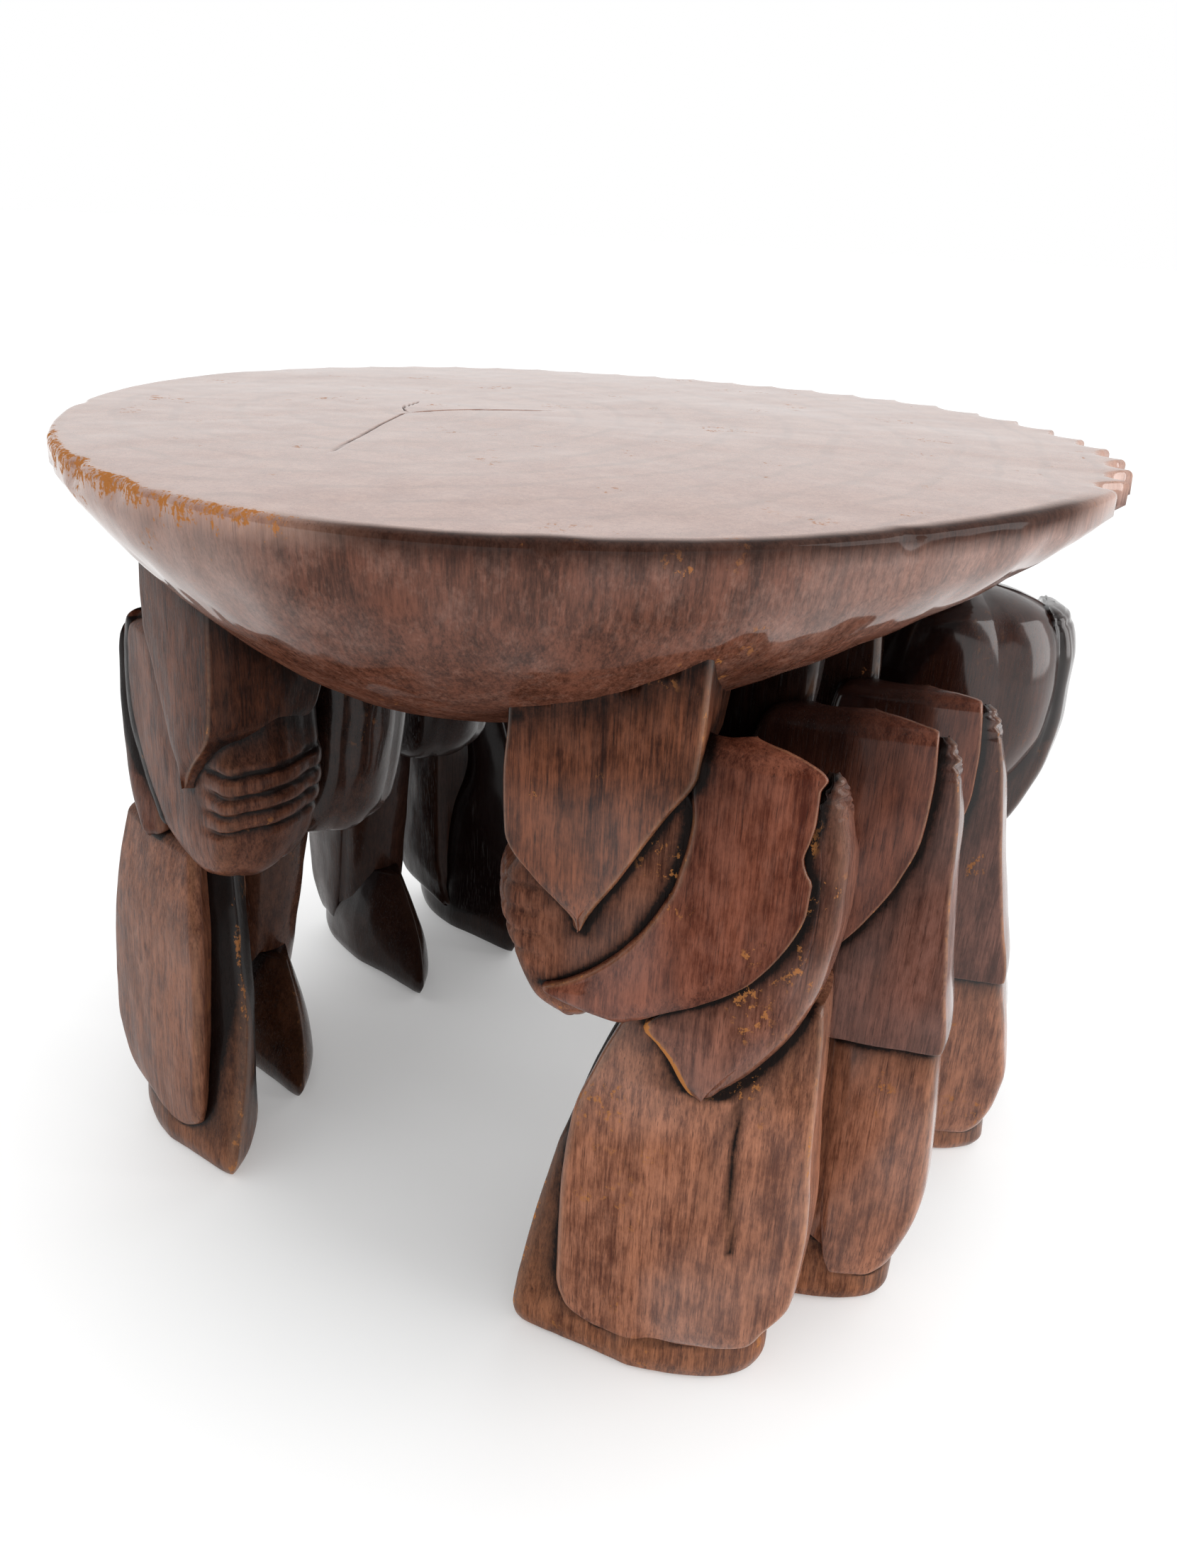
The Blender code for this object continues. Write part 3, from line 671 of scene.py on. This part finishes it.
# %% end figure drawing
END_PIECES = {
    "arm": dict(
        toe=[(273, 30), (277, 28), (319, -5), (345, -6), (375, -4), (470, -3)],
        heel=[(273, 31), (277, 33), (308, 51), (337, 67), (358, 79), (400, 82), (470, 84)],
        near=[(273, -1), (300, -4), (470, -4)],
        far=[(273, 14), (292, 36), (306, 54), (319, 62), (345, 66), (470, 66)],
        soft=(2.5, 4.0), crown=1.5, bulge=(4.0, 0.0)),
    "body": dict(
        toe=[(212, 22), (216, 14), (223, 6), (234, 0), (245, -4), (254, -7), (264, -10), (275, -12),
            (290, -11), (299, -6), (310, -3), (335, -1), (352, 2)],
        heel=[(212, 30), (220, 34), (237, 42), (242, 52), (269, 78), (306, 88), (335, 84), (346, 78),
            (352, 72)],
        near=[(212, 11), (234, 6), (245, 5), (300, 4), (352, 3)],
        far=[(212, 58), (245, 67), (300, 67), (352, 63)],
        soft=(12.0, 6.0), crown=1.5, bulge=(6.0, 0.0), ends=(14.0, 6.0)),
    "hood": dict(
        toe=[(224, 52), (227, 38), (232, 21), (237, 13), (242, 23), (255, 41), (269, 54), (287, 65),
            (306, 73), (335, 77), (355, 74), (367, 72), (374, 76)],
        heel=[(224, 57), (229, 62), (234, 69), (246, 91), (263, 111.5), (285, 125), (302, 130.5), (315, 131),
            (321, 128), (327, 126.5), (334, 128), (345, 129.5), (358, 129.5), (364, 132), (366.5, 130),
            (369, 124), (372, 113), (374, 100)],
        near=[(224, 1), (240, -1), (374, -1)], far=[(224, 70), (374, 70)],
        soft=(4.0, 1.6), crown=3.5, bulge=(0.0, 2.0), ends=(9.0, 12.0), fall=42.0),
    "sleeve": dict(
        toe=[(187, 90), (192, 86), (200, 81), (210, 75), (218, 69), (224, 63), (232, 68), (245, 80),
            (262, 98), (283, 112), (303, 119), (322, 116), (345, 119), (358, 126), (364, 131)],
        heel=[(187, 94), (190, 99), (194, 104), (212, 119.5), (237, 134), (267, 142.5), (295, 145.5),
            (324, 145), (340, 142.5), (348, 141), (351.5, 138.5), (355, 140.5), (358, 138), (361, 138.5),
            (364, 135)],
        near=[(187, 5), (200, 2.5), (240, 2), (300, 3), (364, 5)], far=[(187, 62), (210, 67), (364, 65)],
        soft=(2.0, 11.0), crown=3.0, bulge=(0.0, 3.0), ends=(5.0, 4.0), fall=42.0),
    "leg": dict(
        toe=[(21, 66), (24, 50), (29, 37), (36, 29), (53, 25), (104, 25), (159, 29), (191, 39), (226, 54),
            (246, 64)],
        heel=[(21, 74), (27, 99), (33, 122), (38, 131), (49, 137), (74, 148.5), (118, 151), (174, 147),
            (226, 145), (246, 143)],
        near=[(21, 4), (60, 2), (160, 3), (190, 6), (225, 10), (246, 11)],
        far=[(21, 63), (60, 66), (160, 66), (246, 63)],
        soft=(6.0, 3.5), crown=2.0, bulge=(0.0, 2.0), ends=(5.0, 6.0), slant=0.45),
}
BACK_PIECES = dict(END_PIECES,
    hood=dict(
        toe=[(216, 60), (224, 34), (240, 14), (270, 6), (310, 8), (345, 18), (364, 40), (376, 80)],
        heel=[(216, 66), (224, 86), (240, 112), (260, 129), (285, 138), (310, 140), (335, 136), (356, 125),
            (368, 110), (376, 90)],
        near=[(216, 2), (376, 2)], far=[(216, 70), (300, 74), (376, 70)],
        soft=(30.0, 33.0), crown=9.0, bulge=(0.0, 2.0), ends=(30.0, 36.0)),
    sleeve=dict(END_PIECES["sleeve"],
        toe=[*END_PIECES["sleeve"]["toe"][:12], (340, 122), (358, 124)],
        heel=[*END_PIECES["sleeve"]["heel"][:8], (336, 143), (350, 137), (358, 129)],
        far=[(187, 50), (210, 52), (358, 46)],
        soft=(2.0, 7.0), ends=(6.0, 12.0), fall=0.0),
    leg=dict(END_PIECES["leg"],
        toe=[(21, 66), (24, 50), (29, 37), (36, 29), (53, 25), (104, 25), (159, 29), (198, 44)],
        heel=[(21, 78), (27, 105), (33, 130), (45, 148), (60, 150), (104, 144), (160, 129), (198, 116)]),
)
LEFT_PIECES = dict(END_PIECES,
    body=dict(END_PIECES["body"],
        heel=[(212, 30), (218, 46), (228, 66), (242, 84), (269, 107), (306, 120), (335, 121), (346, 117),
            (352, 110)]),
    hood=dict(END_PIECES["hood"],
        toe=[(230, 74), (234, 64), (240, 61), (255, 71), (269, 81), (287, 90), (306, 97), (346, 102),
            (356, 110)],
        heel=[(230, 78), (236, 89), (246, 101), (263, 118), (285, 131), (302, 136), (330, 137), (347, 132),
            (352, 126), (356, 116)],
        near=[(230, 8), (356, 7)],
        soft=(6.0, 7.0), ends=(9.0, 7.0), fall=20.0),
    sleeve=dict(END_PIECES["sleeve"],
        toe=[(212, 96), (222, 88), (232, 88), (262, 105), (303, 119), (338, 120), (346, 127)],
        heel=[(212, 108), (224, 126), (237, 137), (267, 147), (295, 151), (324, 150), (341, 143), (346, 136)],
        near=[(212, 8), (346, 9)], far=[(212, 64), (346, 65)],
        soft=(7.0, 12.0), ends=(10.0, 10.0), fall=20.0),
    leg=dict(END_PIECES["leg"],
        toe=[*END_PIECES["leg"]["toe"][:-2], (222, 53)],
        heel=[*END_PIECES["leg"]["heel"][:-2], (222, 145)],
        near=[(21, 4), (60, 2), (160, 3), (190, 6), (222, 12)],
        far=[(21, 63), (60, 66), (160, 66), (222, 63)]),
)
print("end figure:", ", ".join(END_PIECES), "and foot")

# %% [markdown]
# ## Middle figures
#
# The four figures between them carry the bowl on a dark square post. Their robe hangs straight to a hem over
# the leg, and the heads are covered by a rounded hood. Near the top of the robe, three small notches make
# knuckles.

# %% middle figure drawing
MIDDLE_PIECES = {
    "post": dict(
        toe=[(296, 6), (340, 0), (370, 3), (470, 4)],
        heel=[(296, 50), (340, 60), (370, 64), (470, 66)],
        near=[(296, 14), (340, 12), (470, 12)], far=[(296, 58), (340, 60), (470, 60)],
        soft=(6.0, 6.0), crown=1.0),
    "body": dict(
        toe=[(205, 34), (209, 18), (216, 4), (234, -6), (265, -10), (315, -8), (344, -2)],
        heel=[(205, 42), (216, 62), (234, 82), (265, 92), (315, 90), (344, 72)],
        near=[(205, 8), (234, 4), (344, 4)], far=[(205, 62), (234, 68), (344, 68)],
        soft=(16.0, 10.0), crown=2.5, bulge=(5.0, 0.0), ends=(14.0, 14.0)),
    "hood": dict(
        toe=[(227, 60), (232, 47), (246, 30), (268, 24), (296, 26), (328, 34), (355, 40), (363, 46),
            (366, 58)],
        heel=[(227, 66), (232, 77), (246, 94), (260, 103), (286, 116), (309, 122), (337, 123.5), (357, 122.5),
            (362, 122), (364.5, 110), (366, 92)],
        near=[(227, 2), (366, 0)], far=[(227, 69), (366, 69)],
        soft=(6.0, 1.8), crown=3.0, bulge=(0.0, 2.0), ends=(12.0, 12.0), fall=38.0),
    "robe": dict(
        toe=[(186, 66), (190, 62), (240, 58), (285, 82), (318, 100), (345, 114), (358, 121)],
        heel=[(186, 149), (188, 151), (193, 151.5), (225, 147), (284, 140.5), (317, 138), (336, 135),
            (342, 134), (345, 132), (348.5, 134), (352, 131), (355, 131), (358, 127)],
        near=[(186, 5), (300, 5), (358, 6)], far=[(186, 66), (358, 65)],
        soft=(2.0, 3.0), crown=1.5, bulge=(0.0, 3.0), ends=(2.0, 4.0), fall=38.0),
    "leg": dict(
        toe=[(21, 100), (26, 90), (36, 83), (65, 78), (95, 76), (155, 72), (200, 70)],
        heel=[(21, 132), (26, 139), (37, 146), (61, 153), (93, 157), (120, 156), (153, 153), (200, 149)],
        near=[(21, 11), (60, 9), (200, 9)], far=[(21, 62), (60, 64), (200, 64)],
        soft=(26.0, 8.0), crown=3.0, bulge=(0.0, 2.0), ends=(6.0, 4.0)),
}
print("middle figure:", ", ".join(MIDDLE_PIECES), "and foot")

# %% [markdown]
# ## Feet
#
# A foot is a pointed shoe: in plan a wedge towards the toe and a rounded box at the heel, smaller the higher
# it is cut, and flat underneath. A superellipse makes both ends, with a small power for the wedge and a
# larger one for the box, so the foot is a stack of these.

# %% feet
FOOT_ROWS, FOOT_COLUMNS = 70, 120
TOE_POWER, HEEL_POWER, ROW_SPREAD = 1.35, 2.1, 1.4
PROW_START, SOLE_FADE = -0.86, 2.5
END_FOOT = [(0, 10, 127, 7, 56), (3, 2, 135, 3, 60), (14, -2, 138, 1, 62), (40, 1, 136, 3, 60),
            (107, 14, 110, 8, 56), (164, 30, 78, 14, 50), (200, 43, 80, 18, 50), (224, 54, 78, 24, 46)]
MIDDLE_FOOT = [(0, 10, 137, 10, 52), (3, 2, 145, 6, 55), (12, -2, 148, 4, 57), (30, 10, 148, 5, 57),
               (55, 34, 132, 12, 53), (82, 60, 108, 24, 46)]


def foot_rings(stations):
    """Rings |along|^p + |through|^p = 1, with p small at the toe for a wedge and large at the heel."""
    share = np.linspace(0.0, 1.0, FOOT_ROWS)[:, None]
    height = stations[-1][0] * share ** ROW_SPREAD
    table = np.array(stations, float)
    toe, heel, near, far = (through(table[:, (0, k)], height) for k in (1, 2, 3, 4))
    angle = np.linspace(0.0, 2.0 * np.pi, FOOT_COLUMNS, endpoint=False)
    power = 2.0 / np.where(np.cos(angle) < 0.0, TOE_POWER, HEEL_POWER)
    along = np.sign(np.cos(angle)) * np.abs(np.cos(angle)) ** power
    across = np.sign(np.sin(angle)) * np.abs(np.sin(angle)) ** power
    s = (toe + heel) / 2.0 + (heel - toe) / 2.0 * along
    w = (near + far) / 2.0 + (far - near) / 2.0 * across
    prow = smooth_step(PROW_START, -1.0, along) * np.ones_like(share)
    sole = np.exp(-height / SOLE_FADE) * np.ones_like(along)
    edge = np.clip(0.8 * prow + 0.9 * sole, 0.0, 1.0)
    return np.stack((s, w, np.broadcast_to(height, s.shape)), axis=-1), edge


print("foot heights in mm:", END_FOOT[-1][0], MIDDLE_FOOT[-1][0])

# %% [markdown]
# ## Where the figures stand
#
# The figures stand in pairs, two pairs in each row, with a gap between the pairs. The left row is the right
# one mirrored, with small differences in turn, lean and in the height of hem and hood, because they were
# carved by eye. A figure is given by its toe's place on the floor, by how much painted shade darkens it, and
# by how polished it is.

# %% figures
FIGURE_LENGTH, FIGURE_THICKNESS, LEAN_HEIGHT = 151.0, 72.0, 460.0
DRAWN_HEM, DRAWN_HOOD, DRAWN_CROWN, STRETCH = 187.0, 350.0, 380.0, 2.0
TOE_SPLAY, SPLAY_HEIGHT = 16.0, 120.0
ROW_TURN = {1: np.radians(15.0), -1: np.radians(16.0)}
# shade is painted shade for the figures that light hardly reaches: those of the left row and the back right
# one
FIGURES = {
    "right_1": dict(side=1, toe=(0.0963, -0.1978), drawing=END_PIECES),
    "right_2": dict(side=1, toe=(0.1285, -0.1136), drawing=MIDDLE_PIECES),
    "right_3": dict(side=1, toe=(0.1440, 0.0477), drawing=MIDDLE_PIECES, hem=142, hood=316, crown=0.8,
                    lean=-0.28, polish=0.75),
    "right_4": dict(side=1, toe=(0.1102, 0.1271), drawing=BACK_PIECES, hem=165, crown=0.6, length=1.12,
                    flipped=True, shade=0.88, polish=0.95),
    "left_1": dict(side=-1, toe=(-0.1232, -0.2043), drawing=LEFT_PIECES, lean=-0.20, back=0.38, length=0.88,
                   shade=0.35),
    "left_2": dict(side=-1, toe=(-0.1408, -0.1233), drawing=MIDDLE_PIECES, crown=0.2, lean=-0.42, back=0.38,
                   shade=0.72, polish=0.42),
    "left_3": dict(side=-1, toe=(-0.1466, 0.0215), drawing=MIDDLE_PIECES, hood=340, crown=0.2, lean=-0.30,
                   back=-0.10, shade=1.0),
    "left_4": dict(side=-1, toe=(-0.1231, 0.1037), drawing=LEFT_PIECES, lean=-0.20, back=-0.10,
                   flipped=True, shade=1.0),
}


def figure_height(drawn, figure):
    """Carry drawn heights to a figure: straight from the floor to its hem, from hem to hood, then a share of
    the drawn crown. What is drawn above the crown only has to reach the bowl, so it is stretched."""
    hem, hood = figure.get("hem", DRAWN_HEM), figure.get("hood", DRAWN_HOOD)
    middle = hem + (drawn - DRAWN_HEM) * (hood - hem) / (DRAWN_HOOD - DRAWN_HEM)
    above = hood + (drawn - DRAWN_HOOD) * figure.get("crown", 1.0)
    above = above + STRETCH * np.maximum(drawn - DRAWN_CROWN, 0.0)
    return np.where(drawn <= DRAWN_HEM, drawn * hem / DRAWN_HEM, np.where(drawn <= DRAWN_HOOD, middle, above))


def stand_figure(points, figure):
    """Stand drawn points (along, through, up, in mm) in the table's frame: lean, turn and move to the toe."""
    side = figure["side"]
    up = figure_height(points[..., 2], figure)
    along = points[..., 0] * figure.get("length", 1.0)
    along = along + figure.get("lean", 0.0) * FIGURE_LENGTH * up / LEAN_HEIGHT
    across = FIGURE_THICKNESS - points[..., 1] if figure.get("flipped") else points[..., 1]
    across = across + figure.get("back", 0.0) * FIGURE_THICKNESS * up / LEAN_HEIGHT
    turn = side * ROW_TURN[side]
    x, y = side * along / 1000.0, across / 1000.0
    return np.stack((figure["toe"][0] + x * np.cos(turn) - y * np.sin(turn),
                     figure["toe"][1] + x * np.sin(turn) + y * np.cos(turn), up / 1000.0), axis=-1)


print("figures:", ", ".join(FIGURES))

# %% [markdown]
# ## Cuts, hollows and painted shade
#
# On the blank pieces come the small cuts: the creases between the fingers round the body of an end figure,
# and the short notches between the knuckles. The hollows are found by measuring how near a point is to the
# neighbouring pieces and to the bowl: dark varnish gathers in a corner and thins out a few millimetres away,
# and painted shade darkens the flank beside a piece that stands prouder, with a crisp black line at its edge,
# the parts under the bowl and the insides of the rows.

# %% cuts
FINGER_CREASES, FINGER_SLOPE, FINGER_WIDE = (254.0, 266.0, 278.0, 291.0), 0.10, 1.9
FINGER_DEEP, FINGER_FAINT = 3.6, 1.4
KNUCKLE_NOTCHES = {"sleeve": (346.0, 351.5, 358.0), "robe": (340.0, 345.0, 352.0)}
KNUCKLE_DEEP, KNUCKLE_WIDE = 0.9, 1.2
# painted shade: wide darkening beside prouder pieces, under the bowl and inside the rows
TOUCH_FADE, BESIDE_FADE, LINE_WIDE, PROUD_BY = 3.0, 18.0, 4.0, 0.5
BOWL_NEAR, BOWL_FAR, INSIDE_ROWS = 9.0, 50.0, (0.24, 0.14)


def cut_depth(piece, drawing, points):
    """Depth of the small cuts: a bell curve across each crease, strongest on the side it was cut from."""
    s, w, z = np.moveaxis(points, -1, 0)
    depth = np.zeros(s.shape)
    if piece == "body" and drawing is not MIDDLE_PIECES:
        held = np.clip(-np.cos(LOOKS), 0.0, 1.0) + smooth_step(22.0, 4.0, s) * (THROUGH < 0.0)
        deep = FINGER_DEEP if drawing is LEFT_PIECES else FINGER_FAINT
        for crease in FINGER_CREASES:
            level = z - crease - FINGER_SLOPE * (w - FIGURE_THICKNESS / 2.0)
            depth += deep * np.exp(-(level / FINGER_WIDE) ** 2) * np.clip(held, 0.0, 1.0)
    for notch in KNUCKLE_NOTCHES.get(piece, ()):
        depth += KNUCKLE_DEEP * np.exp(-((z - notch) / KNUCKLE_WIDE) ** 2) * smooth_step(118.0, 134.0, s)
    return depth


def gap_to(shape, points, flat=False):
    """Distance to a neighbouring board: the most by which a point lies outside its span, ends included. If
    flat, it is measured on the flank only."""
    s, w, z = np.moveaxis(points, -1, 0)
    toe, heel, near, far = span_at(shape, z)
    low, high = shape["toe"][0][0], shape["toe"][-1][0]
    gap = np.maximum.reduce((toe - s, s - heel, low - z, z - high))
    return np.maximum(gap if flat else np.maximum.reduce((gap, near - w, w - far)), 0.0)


def hollow_mark(own, drawing, points, place):
    """Hollows, partly dark varnish and partly painted shade: nearly 1 where a neighbour touches, fading away
    from it; less beside one that stands prouder, fading more slowly, with a painted shadow line above 1 right
    at its edge; also painted shade under the bowl and inside the rows."""
    mark, line = np.zeros(points.shape[:-1]), np.zeros(points.shape[:-1])
    own_near = span_at(drawing[own], points[..., 2])[2] if own in drawing else points[..., 1]
    for piece, shape in drawing.items():
        if piece != own:
            prouder = span_at(shape, points[..., 2])[2] < own_near - PROUD_BY
            beside = gap_to(shape, points, flat=True)
            mark = np.maximum(mark, np.exp(-gap_to(shape, points) / TOUCH_FADE))
            mark = np.maximum(mark, 0.85 * prouder * np.exp(-beside / BESIDE_FADE))
            line = np.maximum(line, prouder * np.exp(-(beside / LINE_WIDE) ** 2))
    head = 1000.0 * np.maximum(bowl_height(place[..., 0], place[..., 1]) - place[..., 2], 0.0)
    inside = smooth_step(*INSIDE_ROWS, np.hypot(place[..., 0], place[..., 1]))
    near = np.maximum(0.95 * mark, np.exp(-head / BOWL_NEAR))
    return np.clip(near + 0.40 * np.exp(-head / BOWL_FAR) + 0.65 * inside, 0.0, 1.0) + 0.6 * line


print("knuckle notches:", KNUCKLE_NOTCHES)

# %% [markdown]
# ## Carving the figures
#
# Now every piece is shaped, cut, roughened by the gouge, stood in its place and trimmed where it meets the
# bowl. A trim is simple here: a point that would be above the bowl's underside is drawn down to just inside
# it, so the arms and posts grow into the bowl with no seam to be seen. The front right figure alone shows a
# raw slit along its sleeve and a dark streak down its leg. The roofs of the middle hoods are black with
# painted shade, and patches of sheen lie on what is neither hollow nor black.

# %% carve
INTO_BOWL, SOLE_HEIGHT, TOE_REACH = 0.003, 4.0, 60.0
GOUGES = [((17.0, 17.0, 24.0), 0.55), ((6.0, 6.0, 11.0), 0.18)]
FAINT_CUT, CUT_DARKNESS, FULL_HOLLOW = 0.6, 0.34, 1.6
SLIT_BARE, STREAK_DARK, STREAK_WIDE = 2.2, 1.3, 1.8
STREAK = [(111.0, 188.0), (112.0, 154.0), (115.0, 101.0)]
ROOF_SHADE, SHEEN, ARM_SHEEN, LEFT_SHEEN = 0.97, 0.42, 0.25, 0.3
SHEEN_LUMPS = [((50.0, 50.0, 65.0), 0.95), ((15.0, 15.0, 22.0), 0.35)]


def drawn_piece(figure, piece):
    """A piece's drawn rings, its edge mark and the depth of its cuts; the toe of a foot splays sideways."""
    drawing = figure["drawing"]
    if piece != "foot":
        points, edge = board_rings(drawing[piece])
        return points, edge, cut_depth(piece, drawing, points)
    points, edge = foot_rings(MIDDLE_FOOT if drawing is MIDDLE_PIECES else END_FOOT)
    toe_side = np.clip((TOE_REACH - points[..., 0]) / TOE_REACH, 0.0, 1.0)
    splay = TOE_SPLAY * toe_side ** 2 * np.clip(1.0 - points[..., 2] / SPLAY_HEIGHT, 0.0, 1.0)
    points[..., 1] += splay if figure.get("flipped") else -splay
    return points, edge, 0.0


def front_marks(piece, drawing, points, edge, hollow):
    """The near flank of the front right figure: a raw slit low on the sleeve's toe side, a dark streak on the
    leg."""
    s, _, z = np.moveaxis(points, -1, 0)
    near = THROUGH < 0.0
    if piece == "sleeve":
        from_toe = s - span_at(drawing[piece], z)[0]
        edge = edge + SLIT_BARE * smooth_step(4.5, 2.5, from_toe) * smooth_step(230.0, 222.0, z) * near
    if piece == "leg":
        streak = line_distance(s, z, STREAK)
        hollow = np.maximum(hollow, STREAK_DARK * np.exp(-(streak / STREAK_WIDE) ** 2) * near)
    return edge, hollow


def shine_marks(figure, piece, points, edge, hollow, seed):
    """Shade is painted shade: the figure's own, and nearly full on the roof of a middle hood. Polish: the
    most of the edges, of lumps of sheen away from hollows and shade, and of the figure's own."""
    shade = np.full(hollow.shape, figure.get("shade", 0.0))
    # painted shade on the roof of a middle hood, under the bowl
    if piece == "hood" and figure["drawing"] is MIDDLE_PIECES:
        roof = smooth_step(296.0, 352.0, points[..., 2]) * smooth_step(135.0, 75.0, points[..., 0])
        shade = np.maximum(shade, ROOF_SHADE * roof)
    sheen = ARM_SHEEN if piece == "arm" else SHEEN
    for turn, (size, strength) in enumerate(SHEEN_LUMPS):
        sheen = sheen + strength * lumps(points, size, seed + turn)
    sheen = np.clip(sheen, 0.0, 1.0) * np.clip(1.0 - hollow, 0.0, 1.0) * (1.0 - shade)
    sheen = sheen * (1.0 if figure["side"] > 0 else LEFT_SHEEN)
    return shade, np.maximum(np.maximum(0.6 * np.clip(edge, 0.0, 1.0), sheen), figure.get("polish", 0.0))


def carve_piece(name, figure, piece, order):
    """One carved piece of a figure: drawn rings, less the cuts, plus gouge lumps, stood in place."""
    drawing = figure["drawing"]
    points, edge, cut = drawn_piece(figure, piece)
    seed = 10 * order + len(piece)
    gouge = sum(strength * lumps(points, size, seed + turn) for turn, (size, strength) in enumerate(GOUGES))
    flat_sole = np.clip(points[..., 2] / SOLE_HEIGHT, 0.0, 1.0)
    place = stand_figure(points + outward(points) * ((gouge - cut) * flat_sole)[..., None], figure)
    # hollows: dark varnish and painted shade, darker in the deeper cuts
    hollow = hollow_mark(piece, drawing, points, place) + CUT_DARKNESS * np.maximum(cut - FAINT_CUT, 0.0)
    hollow = np.clip(hollow, 0.0, FULL_HOLLOW)
    place[..., 2] = np.minimum(place[..., 2], bowl_height(place[..., 0], place[..., 1]) + INTO_BOWL)
    if (figure["side"] < 0) != bool(figure.get("flipped")):
        place, points, edge, hollow = (part[:, ::-1] for part in (place, points, edge, hollow))
    if name == "right_1":
        edge, hollow = front_marks(piece, drawing, points, edge, hollow)
    shade, polish = shine_marks(figure, piece, points, edge, hollow, seed + len(GOUGES))
    made = add_skin(f"{name}_{piece}_carved", place, edge, hollow, shade, polish)
    stand_for(made, f"{name}_{piece}", "wood_" + piece)
    return len(made.data.polygons)


faces = 0
for order, (name, figure) in enumerate(FIGURES.items()):
    for piece in (*figure["drawing"], "foot"):
        faces += carve_piece(name, figure, piece, order)
print("figure pieces carved, faces:", faces)

# %% [markdown]
# ## The studio
#
# The photograph was taken in a bright white room: the background is white, the light comes from everywhere, a
# little more from the upper right, and only a faint shadow lies under the table. A white world and a white
# floor give that, and one large soft lamp gives the direction. The floor is lifted towards white where the
# camera or a reflection sees it, and reflections see a darker wall in front, so the varnish keeps its dark
# side.

# %% studio
FLOOR_SIZE, FLOOR_COLOUR, FLOOR_ROUGH, FLOOR_GLOW = 30.0, (0.96, 0.97, 0.97, 1.0), 0.6, 1.3
SHADOW_REACH, LEAST_LIFT, FULL_LIFT = (0.10, 0.55), 0.09, 0.62
ROOM_LIGHT, FRONT_WALL, BESIDE_SHARE, WALL_TURN = 1.0, 0.15, 0.40, (-0.5, 0.45)
WINDOW_PLACE, WINDOW_VIEW = np.array((1.9, 0.35, 0.8)), np.array((-0.95, -0.2, -0.24))
WINDOW_POWER, WINDOW_SIZE = 20.0, 1.4

floor_mesh = bpy.data.meshes.new("floor")
floor_mesh.from_pydata([(x * FLOOR_SIZE, y * FLOOR_SIZE, 0.0) for x, y in CORNERS], [], [(0, 1, 2, 3)])
floor = add_object("floor", floor_mesh)
floor_white = bpy.data.materials.new("floor_white")
floor_white.use_nodes = True
floor_mesh.materials.append(floor_white)
tree = floor_white.node_tree
floor_shader = tree.nodes["Principled BSDF"]
floor_shader.inputs["Base Color"].default_value = FLOOR_COLOUR
floor_shader.inputs["Roughness"].default_value = FLOOR_ROUGH
glow = add_node(tree, 'ShaderNodeEmission', Strength=FLOOR_GLOW)
floor_place = add_node(tree, 'ShaderNodeTexCoord').outputs["Object"]
away = add_node(tree, 'ShaderNodeVectorMath', {"operation": 'LENGTH'}, _0=floor_place).outputs["Value"]
paths = tree.nodes.new('ShaderNodeLightPath').outputs
seen = math_node(tree, 'MAXIMUM', paths["Is Camera Ray"], paths["Is Glossy Ray"])
lift = times(tree, seen, span_node(tree, away, *SHADOW_REACH, LEAST_LIFT, FULL_LIFT))
bright = add_node(tree, 'ShaderNodeMixShader', _0=lift, _1=floor_shader.outputs[0], _2=glow.outputs[0])
tree.links.new(bright.outputs[0], tree.nodes["Material Output"].inputs["Surface"])

world = bpy.data.worlds.new("white_room")
bpy.context.scene.world = world
world.use_nodes = True
tree = world.node_tree
paths = tree.nodes.new('ShaderNodeLightPath').outputs
room_place = tree.nodes.new('ShaderNodeTexCoord').outputs["Generated"]
direction = add_node(tree, 'ShaderNodeSeparateXYZ', Vector=room_place).outputs
beside = math_node(tree, 'ABSOLUTE', direction["X"])
behind = math_node(tree, 'MULTIPLY_ADD', beside, BESIDE_SHARE, direction["Y"])
walls = span_node(tree, behind, *WALL_TURN, FRONT_WALL, 1.0)
others = add_node(tree, 'ShaderNodeMix', Factor=paths["Is Glossy Ray"], A=ROOM_LIGHT, B=walls)
seen = add_node(tree, 'ShaderNodeMix', Factor=paths["Is Camera Ray"], A=others.outputs[0], B=1.0)
tree.links.new(seen.outputs[0], tree.nodes["Background"].inputs["Strength"])
tree.nodes["Background"].inputs["Color"].default_value = (1.0, 1.0, 1.0, 1.0)

window = bpy.data.lights.new("window", 'AREA')
window.energy = WINDOW_POWER
window.size = WINDOW_SIZE
window_object = add_object("window", window)
window_object.matrix_world = camera_matrix(WINDOW_PLACE, WINDOW_VIEW, 0.0).T
bpy.context.scene.view_settings.view_transform = 'Standard'
print("floor, world and window lamp are in place")
